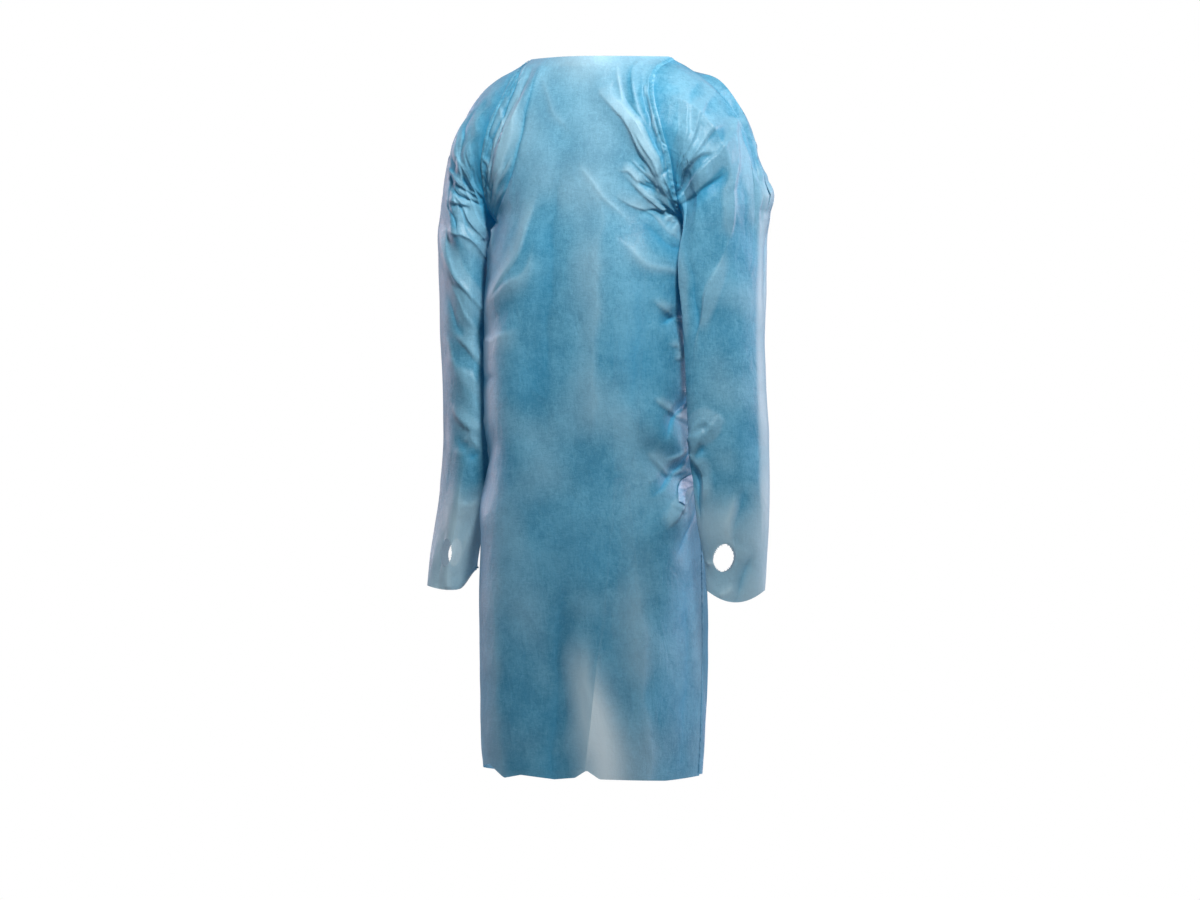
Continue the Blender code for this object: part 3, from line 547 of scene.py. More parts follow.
frontPanel = {
    "halfGirth": 0.24,  # from the middle to the side seam
    "neckHalf": 0.114,
    "tipX": 0.122,
    "edgeFade": 0.10,
    "crumple": 0.00012,
    "ripple": 0.0016,
    "sides": (1, -1),
    "fans": (  # count, across, z, angles, starts, lengths
        (12, 0.97, -0.226, (98, 150), (0.01, 0.05), (0.03, 0.12)),
        (7, 0.96, -0.236, (150, 205), (0.008, 0.04), (0.02, 0.07)),
        (4, 0.98, -0.5, (150, 200), (0.006, 0.012), (0.02, 0.05)),
        (5, 0.98, -0.61, (135, 215), (0.006, 0.012), (0.02, 0.06)),
    ),
    "small": (  # count, from across, to across, depths, lengths across, sway
        (16, 0.84, 0.97, (0.02, 0.2), (0.004, 0.02), 0.05),
        (5, 0.74, 0.98, (0.28, 0.48), (0.04, 0.14), 0.02),
    ),
    # midZ, midY, edgeX, edgeY, edgeZ, wrap, square, top
    "sections": (
        (-1.080, -0.165, 0.163, 0.000, -1.080, 1.0, 2.8, 0.0),
        (-0.980, -0.166, 0.168, 0.000, -0.980, 1.0, 2.8, 0.0),
        (-0.830, -0.163, 0.170, 0.000, -0.830, 1.0, 2.8, 0.0),
        (-0.700, -0.156, 0.168, 0.000, -0.700, 1.0, 2.8, 0.0),
        (-0.610, -0.149, 0.160, 0.000, -0.610, 1.0, 2.7, 0.0),
        (-0.500, -0.145, 0.163, 0.000, -0.500, 1.0, 2.7, 0.0),
        (-0.390, -0.141, 0.164, 0.000, -0.390, 1.0, 2.7, 0.0),
        (-0.310, -0.137, 0.164, 0.000, -0.315, 1.0, 2.6, 0.0),
        (-0.256, -0.132, 0.162, 0.000, -0.262, 0.9, 2.4, 0.0),
        (-0.205, -0.126, 0.157, -0.060, -0.225, 0.3, 2.2, 0.0),
        (-0.150, -0.117, 0.157, -0.084, -0.170, 0.0, 2.2, 0.0),
        (-0.098, -0.106, 0.145, -0.092, -0.112, 0.0, 2.2, 0.0),
        (-0.050, -0.095, 0.125, -0.078, -0.057, 0.0, 2.2, 0.2),
        (-0.020, -0.086, 0.118, -0.050, -0.024, 0.0, 2.2, 0.6),
        (0.000, -0.080, 0.122, 0.000, -0.005, 0.0, 2.2, 1.0),
    ),
    "steps": (2, 3, 3, 3, 3, 3, 2, 2, 3, 3, 3, 3, 2, 1),
    "hemWaves": (  # place across, lift
        (-1, 0.01), (-0.62, 0.018), (-0.44, 0.024), (-0.32, 0.004), (-0.21, 0.009), (0, 0.003),
        (0.14, 0.006), (0.21, 0.017), (0.28, 0.004), (0.65, 0.001), (1, 0.006),
    ),
    # creases as the camera sees them: path of (metres to the right, z), then as below
    "facing": (
        (((0, -0.057), (0.021, -0.086), (0.039, -0.1), (0.053, -0.127), (0.068, -0.153), (0.084, -0.183),
          (0.105, -0.213), (0.112, -0.228)), 0.0032, 0.0042, 0.3, 0.8, -0.5),
        (((0.03, -0.172), (0.041, -0.172), (0.053, -0.187), (0.064, -0.192)), 0.0026, 0.003, 0.2, 0, -0.3),
        (((0.036, -0.176), (0.053, -0.198), (0.075, -0.221), (0.105, -0.247)),
         0.003, 0.0034, 0.2, 0.8, -0.4),
        (((0.056, -0.161), (0.066, -0.164), (0.071, -0.176), (0.086, -0.191), (0.105, -0.221)),
         0.0028, 0.0034, 0.2, 0.8, -0.4),
        (((0.026, -0.213), (0.034, -0.216), (0.068, -0.236), (0.105, -0.266)),
         0.003, 0.003, 0.3, 0.6, -0.4),
        (((-0.09, -0.19), (-0.112, -0.26), (-0.138, -0.322), (-0.172, -0.378)), 0.003, 0.0036, 0, 0.9, 0.3),
        (((0.07, -0.362), (0.112, -0.388), (0.13, -0.416)), 0.0028, 0.004, 0, 0.8, -0.4),
        (((0.096, -0.43), (0.118, -0.436), (0.134, -0.448)), 0.0026, 0.0026, 0, 0.8, -0.3),
        (((0.074, -0.508), (0.11, -0.536), (0.134, -0.546)), 0.0028, 0.0042, 0, 0.8, -0.4),
        (((0.07, -0.59), (0.108, -0.624), (0.13, -0.616)), 0.0028, 0.004, 0, 0.8, -0.4),
        (((0.1, -0.664), (0.122, -0.68)), 0.0026, 0.0028, 0, 0.6, -0.3),
    ),
    # broad folds: from across, from z, to across, to z, width, height
    "folds": (
        (-0.62, -0.378, -0.26, -0.326, 0.024, 0.003),
        (-0.26, -0.326, -0.12, -0.25, 0.026, 0.003),
        (-0.7, -0.43, -0.34, -0.39, 0.028, -0.002),
        (0.35, -0.055, 0.66, -0.108, 0.022, 0.004),
        (0.66, -0.108, 0.85, -0.153, 0.021, 0.004),
        (0.85, -0.153, 0.93, -0.22, 0.02, 0.003),
        (-0.76, -0.3, -0.76, -0.66, 0.03, 0.006),
        (0.72, -0.02, 0.8, -0.11, 0.014, 0.004),
        (0.88, -0.03, 0.9, -0.12, 0.012, -0.004),
        (-0.55, -0.03, -0.8, -0.16, 0.018, 0.006),
        (-0.72, -0.03, -0.88, -0.15, 0.015, -0.005),
        (-0.1, -0.13, -0.16, -0.56, 0.034, -0.005),
        (0.14, -0.24, 0.1, -0.64, 0.036, -0.004),
        (-0.36, -0.42, -0.3, -1, 0.042, 0.005),
        (0.22, -0.7, 0.24, -1.06, 0.044, 0.006),
        (-0.06, -0.78, -0.02, -1.06, 0.04, -0.006),
        (0.52, -0.595, 0.88, -0.65, 0.022, -0.007),
        (0.48, -0.545, 0.9, -0.6, 0.022, 0.006),
        (0.52, -0.71, 0.86, -0.675, 0.024, 0.005),
        (-0.5, -0.58, -0.9, -0.615, 0.022, -0.006),
        (-0.52, -0.69, -0.9, -0.645, 0.024, 0.005),
        (0.7, -0.52, 0.92, -0.56, 0.02, -0.006),
        (0.58, -0.385, 0.88, -0.405, 0.02, -0.006),
    ),
    # creases: path of (across, z), width, height, share at the start, share at the end, lean
    "creases": (
        # chest, from the neck into the left armpit
        (((0.42, -0.05), (0.75, -0.104), (0.87, -0.16), (0.9, -0.222)), 0.004, 0.0034, 0, 0.8, 0.3),
        (((0.6, -0.058), (0.82, -0.1), (0.92, -0.165)), 0.004, -0.0022, 0, 0.7, 0),
        (((0.77, -0.212), (0.84, -0.222), (0.92, -0.24)), 0.003, -0.003, 0, 0.6, 0.2),
        (((0.46, -0.241), (0.68, -0.285), (0.93, -0.3)), 0.006, -0.0032, 0, 0.6, 0.2),
        (((0.3, -0.27), (0.58, -0.318), (0.86, -0.33)), 0.007, 0.0024, 0, 0.4, 0),
        (((0.1, -0.15), (0.3, -0.205), (0.44, -0.262)), 0.008, 0.0016, 0, 0, 0),
        # gathers beside the left armhole
        (((0.93, -0.02), (0.93, -0.07), (0.94, -0.14), (0.95, -0.215)), 0.0026, 0.0022, 0.2, 1, 0),
        (((0.86, -0.026), (0.89, -0.09), (0.92, -0.15)), 0.0026, -0.002, 0.1, 0.6, 0.3),
        (((0.95, -0.09), (0.91, -0.1), (0.88, -0.112)), 0.0022, 0.0016, 1, 0, 0),
        (((0.97, -0.12), (0.9, -0.128), (0.85, -0.142)), 0.0022, -0.0018, 1, 0, 0),
        (((0.97, -0.146), (0.92, -0.15), (0.86, -0.16)), 0.0022, 0.0018, 1, 0, 0.3),
        (((0.98, -0.172), (0.91, -0.178), (0.87, -0.19)), 0.0022, -0.002, 1, 0, 0),
        (((0.98, -0.194), (0.93, -0.2), (0.89, -0.212)), 0.002, 0.002, 1, 0, 0),
        (((0.52, -0.012), (0.6, -0.05), (0.62, -0.09)), 0.0045, 0.0016, 0.3, 0, 0),
        (((0.7, -0.01), (0.73, -0.05), (0.78, -0.078)), 0.0035, -0.0016, 0.2, 0, 0.2),
        # right shoulder and chest
        (((-0.77, -0.03), (-0.74, -0.109), (-0.86, -0.183), (-0.93, -0.216)),
         0.0045, 0.0034, 0.2, 0.8, 0.2),
        (((-0.56, -0.02), (-0.55, -0.124), (-0.7, -0.215), (-0.9, -0.245)), 0.0055, -0.0032, 0.2, 0.7, 0),
        (((-0.66, -0.02), (-0.66, -0.11), (-0.79, -0.195), (-0.93, -0.228)), 0.0045, 0.0026, 0.2, 0.7, 0.3),
        (((-0.86, -0.03), (-0.87, -0.09), (-0.93, -0.15)), 0.003, -0.0026, 0.2, 0.8, 0),
        (((-0.94, -0.08), (-0.88, -0.092), (-0.82, -0.11)), 0.0024, 0.0018, 1, 0, 0),
        (((-0.96, -0.118), (-0.9, -0.128), (-0.84, -0.15)), 0.0024, -0.0018, 1, 0, 0),
        (((-0.97, -0.152), (-0.91, -0.16), (-0.86, -0.18)), 0.0024, 0.002, 1, 0, 0),
        (((-0.98, -0.186), (-0.92, -0.192), (-0.85, -0.212)), 0.0024, -0.0018, 1, 0, 0),
        (((-0.54, -0.019), (-0.23, -0.077), (0.07, -0.124)), 0.009, 0.0012, 0.2, 0, 0),
        (((-0.92, -0.252), (-0.7, -0.262), (-0.52, -0.3)), 0.006, 0.003, 0.8, 0, 0.2),
        (((-0.95, -0.285), (-0.76, -0.31), (-0.6, -0.352)), 0.006, -0.003, 0.8, 0, 0),
        # drag lines below the right armpit
        (((-0.7, -0.392), (-0.38, -0.346), (-0.25, -0.326), (-0.15, -0.256)), 0.006, 0.0026, 0.1, 0, 0.3),
        (((-0.82, -0.42), (-0.5, -0.424), (-0.23, -0.405)), 0.007, 0.0026, 0.2, 0, 0.2),
        (((-0.84, -0.47), (-0.58, -0.486), (-0.4, -0.478)), 0.008, -0.0024, 0.3, 0, 0),
        (((-0.88, -0.52), (-0.7, -0.545), (-0.54, -0.548)), 0.007, 0.0022, 0.4, 0, 0),
        # long soft lines down the front
        (((-0.09, -0.137), (-0.07, -0.289), (-0.09, -0.434), (-0.08, -0.584)), 0.01, -0.0018, 0, 0, 0.3),
        (((0.34, -0.152), (0.22, -0.303), (0.21, -0.453), (0.2, -0.601)), 0.011, 0.0018, 0, 0, 0.2),
        (((0.46, -0.29), (0.45, -0.407), (0.43, -0.575)), 0.011, -0.0018, 0, 0, 0),
        (((-0.32, -0.7), (-0.36, -0.88), (-0.34, -1.076)), 0.012, 0.0024, 0, 0.7, 0.3),
        (((0.04, -0.75), (0.02, -0.894), (-0.02, -1.076)), 0.011, -0.0024, 0, 0.8, 0),
        (((0.46, -0.75), (0.5, -0.934), (0.55, -1.076)), 0.012, 0.0024, 0, 0.8, 0.2),
        (((0.21, -0.85), (0.21, -0.96), (0.21, -1.076)), 0.008, 0.0026, 0, 1, 0.2),
        (((-0.56, -0.76), (-0.6, -0.93), (-0.58, -1.076)), 0.011, -0.0024, 0, 0.8, 0.2),
        (((0.78, -0.76), (0.8, -0.9), (0.77, -1.05)), 0.01, -0.0022, 0, 0.6, 0),
        (((-0.8, -0.73), (-0.82, -0.9), (-0.8, -1.04)), 0.01, 0.0022, 0, 0.5, 0),
        # short pulls at the left side seam
        (((0.94, -0.386), (0.74, -0.392), (0.55, -0.407)), 0.0034, -0.005, 0.8, 0, 0.3),
        (((0.94, -0.436), (0.8, -0.446), (0.66, -0.452)), 0.0034, 0.0046, 0.8, 0, 0.3),
        (((0.95, -0.502), (0.84, -0.524), (0.68, -0.547), (0.61, -0.58)), 0.0034, -0.0052, 0.8, 0, 0.3),
        (((0.95, -0.56), (0.8, -0.592), (0.62, -0.606)), 0.0034, 0.0046, 0.9, 0, -0.3),
        (((0.96, -0.6), (0.88, -0.596), (0.71, -0.627), (0.52, -0.664)), 0.0034, -0.0054, 0.9, 0, 0.3),
        (((0.95, -0.64), (0.8, -0.668), (0.58, -0.715)), 0.0036, 0.0046, 0.9, 0, 0.3),
        (((0.95, -0.668), (0.84, -0.7), (0.66, -0.76)), 0.0056, -0.003, 0.8, 0, 0),
        (((-0.95, -0.606), (-0.8, -0.6), (-0.6, -0.575)), 0.0056, 0.003, 0.9, 0, 0.2),
        (((-0.95, -0.64), (-0.78, -0.652), (-0.56, -0.69)), 0.0056, -0.0032, 0.9, 0, 0),
        (((-0.95, -0.67), (-0.82, -0.7), (-0.68, -0.75)), 0.0056, 0.0028, 0.8, 0, 0),
    ),
}

backPanel = {
    "facing": (),
    "halfGirth": 0.22,
    "edgeFade": 0.20,
    "crumple": 0.00012,
    "ripple": 0.0016,
    "sides": (1,),
    "fans": (
        (12, 0.97, -0.226, (98, 160), (0.01, 0.05), (0.03, 0.12)),
        (7, 0.96, -0.236, (160, 215), (0.008, 0.04), (0.02, 0.07)),
        (9, 0.1, -0.625, (-70, 70), (0.01, 0.03), (0.03, 0.09)),
    ),
    "small": (
        (14, 0.74, 0.97, (0.02, 0.2), (0.02, 0.05), 0.045),
        (8, 0.2, 0.95, (0.56, 0.7), (0.05, 0.2), 0.03),
    ),
    "sections": (
        (-1.072, 0.090, 0.163, 0.000, -1.072, 1.0, 2.1, 0.0),
        (-0.980, 0.092, 0.168, 0.000, -0.980, 1.0, 2.1, 0.0),
        (-0.830, 0.093, 0.170, 0.000, -0.830, 1.0, 2.1, 0.0),
        (-0.700, 0.091, 0.168, 0.000, -0.700, 1.0, 2.1, 0.0),
        (-0.610, 0.090, 0.160, 0.000, -0.610, 1.0, 2.1, 0.0),
        (-0.500, 0.098, 0.163, 0.000, -0.500, 1.0, 2.2, 0.0),
        (-0.390, 0.105, 0.164, 0.000, -0.390, 1.0, 2.2, 0.0),
        (-0.310, 0.110, 0.164, 0.000, -0.315, 1.0, 2.2, 0.0),
        (-0.256, 0.112, 0.162, 0.000, -0.262, 0.9, 2.2, 0.0),
        (-0.205, 0.111, 0.157, 0.050, -0.225, 0.3, 2.2, 0.0),
        (-0.150, 0.107, 0.157, 0.070, -0.170, 0.0, 2.2, 0.0),
        (-0.100, 0.099, 0.145, 0.078, -0.112, 0.0, 2.2, 0.0),
        (-0.055, 0.087, 0.125, 0.066, -0.057, 0.0, 2.2, 0.2),
        (-0.028, 0.075, 0.118, 0.042, -0.024, 0.0, 2.2, 0.6),
        (-0.010, 0.062, 0.122, 0.000, -0.005, 0.0, 2.2, 1.0),
    ),
    "halfGaps": (  # z, half the width of the back opening
        (-1.08, 0.066), (-0.9, 0.046), (-0.75, 0.028), (-0.63, 0.018), (-0.5, 0.024),
        (-0.3, 0.026), (-0.16, 0.012), (-0.1, 0.0002), (0.02, 0.0002),
    ),
    "folds": (
        (0.8, -0.25, 0.3, -0.16, 0.02, 0.006),
        (0.84, -0.29, 0.4, -0.4, 0.022, -0.005),
        (0.36, -0.11, 0.3, -0.52, 0.026, -0.006),
        (0.6, -0.7, 0.64, -1.06, 0.032, 0.007),
        (0.34, -0.68, 0.4, -1.06, 0.026, -0.006),
        (0.86, -0.6, 0.46, -0.52, 0.02, 0.005),
    ),
    "creases": (
        (((0.93, -0.06), (0.8, -0.09), (0.62, -0.1)), 0.0036, 0.0024, 0.9, 0, 0.2),
        (((0.95, -0.1), (0.78, -0.13), (0.55, -0.128)), 0.004, -0.003, 0.9, 0, 0),
        (((0.96, -0.15), (0.76, -0.162), (0.48, -0.15), (0.24, -0.118)), 0.0046, 0.0034, 0.9, 0, 0.3),
        (((0.96, -0.19), (0.74, -0.208), (0.46, -0.198)), 0.0046, -0.0034, 0.9, 0, 0),
        (((0.94, -0.232), (0.72, -0.25), (0.42, -0.262)), 0.005, 0.003, 0.8, 0, 0.2),
        (((0.92, -0.29), (0.7, -0.33), (0.44, -0.392)), 0.006, -0.0034, 0.7, 0, 0),
        (((0.92, -0.35), (0.74, -0.4), (0.56, -0.47)), 0.006, 0.0026, 0.6, 0, 0),
        (((0.12, -0.106), (0.18, -0.18), (0.22, -0.3), (0.2, -0.44)), 0.006, 0.003, 0.5, 0, 0.3),
        (((0.22, -0.03), (0.3, -0.1), (0.36, -0.22)), 0.005, -0.0024, 0.3, 0, 0),
        (((0.44, -0.02), (0.5, -0.08), (0.52, -0.15)), 0.0046, 0.0022, 0.3, 0, 0.2),
        (((0.14, -0.618), (0.3, -0.59), (0.52, -0.52)), 0.0052, 0.0036, 0.6, 0, 0.2),
        (((0.14, -0.64), (0.34, -0.65), (0.6, -0.69)), 0.0052, -0.0034, 0.6, 0, 0),
        (((0.16, -0.6), (0.26, -0.52), (0.32, -0.43)), 0.006, -0.003, 0.5, 0, 0.2),
        (((0.16, -0.66), (0.26, -0.76), (0.3, -0.9)), 0.007, 0.0034, 0.5, 0, 0.2),
        (((0.6, -0.64), (0.64, -0.8), (0.62, -1.068)), 0.01, 0.003, 0.2, 0.8, 0.2),
        (((0.46, -0.65), (0.5, -0.86), (0.5, -1.068)), 0.009, -0.003, 0.2, 0.9, 0),
        (((0.78, -0.64), (0.8, -0.85), (0.76, -1.068)), 0.01, -0.0028, 0.2, 0.8, 0),
        (((0.4, -0.9), (0.42, -0.98), (0.4, -1.068)), 0.007, 0.0028, 0, 1, 0.2),
        (((0.95, -0.6), (0.8, -0.585), (0.6, -0.56)), 0.005, 0.003, 0.8, 0, 0),
        (((0.95, -0.65), (0.78, -0.668), (0.56, -0.72)), 0.0056, -0.003, 0.8, 0, 0.2),
    ),
}


def bodyPoints(panel, place, across):
    midZ, midY, edgeX, edgeY, edgeZ, wrap, square, top = (
        readSmooth(panel["sections"], column, place) for column in range(8)
    )
    angle = across * math.pi / 2
    roundOut = (abs(np.sin(angle)) ** square + abs(np.cos(angle)) ** square) ** (-1 / square)
    out = (1 - wrap) * across + wrap * np.sin(angle) * roundOut
    toMid = (1 - wrap) * (1 - abs(across) ** 2.2) + wrap * np.cos(angle) * roundOut
    x = edgeX * out
    neck, tip = frontPanel["neckHalf"], frontPanel["tipX"]
    slope = np.clip((abs(x) - neck) / (tip - neck), 0.0, 1.0)
    mixY = (1 - top) * toMid + top * np.clip(1 - (x / neck) ** 2, 0.0, 1.0)
    mixZ = (1 - top) * toMid + top * (1 - slope)
    return np.stack([x, edgeY + (midY - edgeY) * mixY, edgeZ + (midZ - edgeZ) * mixZ], axis=-1)


def panelCreases(panel, seed):
    creases = list(panel["creases"])
    for flip in panel["sides"]:
        for count, low, high, depths, lengths, sway in panel["small"]:
            span = sorted((flip * low, flip * high))
            creases += smallCreases(seed + flip, count, span, depths, lengths, sway)
        creases += fansOf(panel["fans"], flip, seed, panel["halfGirth"])
    return creases


def dressPanel(panel, grid, place, across, edge, seed):
    # edge is 0 at the side seam and armhole and grows inwards
    below = 1 - fade(place - cloth["armpitRow"], 0.0, 0.6)  # 1 where the edge is a side seam
    girth = panel["halfGirth"]
    z = grid[..., 2]
    normals = gridNormals(grid)
    lift = foldHeight(panel["folds"], across * girth, z, girth) * fade(edge, 0.0, panel["edgeFade"])
    lift *= fade(len(panel["sections"]) - 1 - place, 0.0, 0.6)  # none at the shoulder and neck edge
    fine = creaseHeight(panelCreases(panel, seed), across * girth, z, girth)
    fine += facingCreases(panel["facing"], grid, normals)
    fine += panel["crumple"] * crumple(grid * (1.0, 1.0, 0.62), 0.045, seed)
    fine += panel["ripple"] * softNoise(grid, 0.085, seed + 3)
    fine *= 1 - below * (1 - fade(edge, 0.0, cloth["seamReach"]))
    inwards = edge * girth
    # painted shade beside the armhole, where the cloth bunches, and deepest at the armpit
    arm = (1 - below) * np.exp(-inwards / shade["armReach"]) * (0.35 + 0.65 * fade(-z, 0.08, 0.22))
    armpit = np.exp(-((np.hypot(inwards, z - shade["armpitZ"]) / shade["armpitReach"]) ** 2))
    # crease hollows painted deeper as painted shade and ridges paler as painted highlight, less the painted
    # shade at the armhole and armpit
    tone = np.clip(fine / shade["creaseHeight"], *shade["panelTones"]) - arm - shade["armpitPaintedShade"] * armpit
    # painted light: paler towards the top of the chest and back
    tone += shade["chestPaintedLight"] * fade(z, *shade["chestRise"])
    crinkled = shade["crinkle"] + shade["sideCrinkle"] * below * np.exp(-inwards / shade["sideReach"])
    return grid + normals * (lift + fine)[..., None], tone, crinkled


def frontGrid():
    place, across = np.meshgrid(
        meshPlaces(frontPanel["sections"], frontPanel["steps"]),
        np.linspace(-1.0, 1.0, cloth["frontColumns"] + 1), indexing="ij",
    )
    grid = bodyPoints(frontPanel, place, across)
    waves = frontPanel["hemWaves"]
    lift = np.interp(across, [w[0] for w in waves], [w[1] for w in waves])
    grid[..., 2] += lift * (1 - fade(place, 0.0, 0.5))
    return dressPanel(frontPanel, grid, place, across, 1 - abs(across), 1)


def backGrid(seed):
    rows = backPanel["sections"]
    place, step = np.meshgrid(
        meshPlaces(rows, frontPanel["steps"]),
        np.linspace(0.0, 1.0, cloth["backColumns"] + 1), indexing="ij",
    )
    gaps = backPanel["halfGaps"]
    halfGap = np.interp(readSmooth(rows, 0, place), [g[0] for g in gaps], [g[1] for g in gaps])
    wrap = readSmooth(rows, 5, place)
    least = halfGap / readSmooth(rows, 2, place) / (wrap * math.pi / 2 + 1 - wrap)
    across = 1 - (1 - least) * step
    grid = bodyPoints(backPanel, place, across)
    return dressPanel(backPanel, grid, place, across, step, seed)


front, frontPaintedLightAndShade, frontCrinkle = frontGrid()
back, backPaintedLightAndShade, backCrinkle = {}, {}, {}
for side, seed in ((1, 2), (-1, 5)):
    back[side], backPaintedLightAndShade[side], backCrinkle[side] = backGrid(seed)
print("body panels worked out")


# sleeves

sleeve = {
    "pointed": 0.35,
    "armpitFullness": 0.95,
    "shoulderWay": (0.89, 0.0, -0.46),
    "armpitWay": (0.42, 0.0, -0.90),
    "shoulderNormal": (0.35, 0.0, 0.94),
    "perDegree": 0.0009,  # metres round the sleeve
    "fans": (  # count, turn, z, angles, starts, lengths
        (8, 143, -0.224, (123, 146), (0.01, 0.04), (0.07, 0.17)),
        (4, 143, -0.228, (148, 178), (0.008, 0.03), (0.03, 0.07)),
        (4, 134, -0.59, (130, 230), (0.006, 0.014), (0.02, 0.05)),
    ),
    "crumple": 0.0006,
    "ripple": 0.0018,
    "steps": (2, 2, 2, 2, 2, 2),
    "holeHeight": 0.042,
}

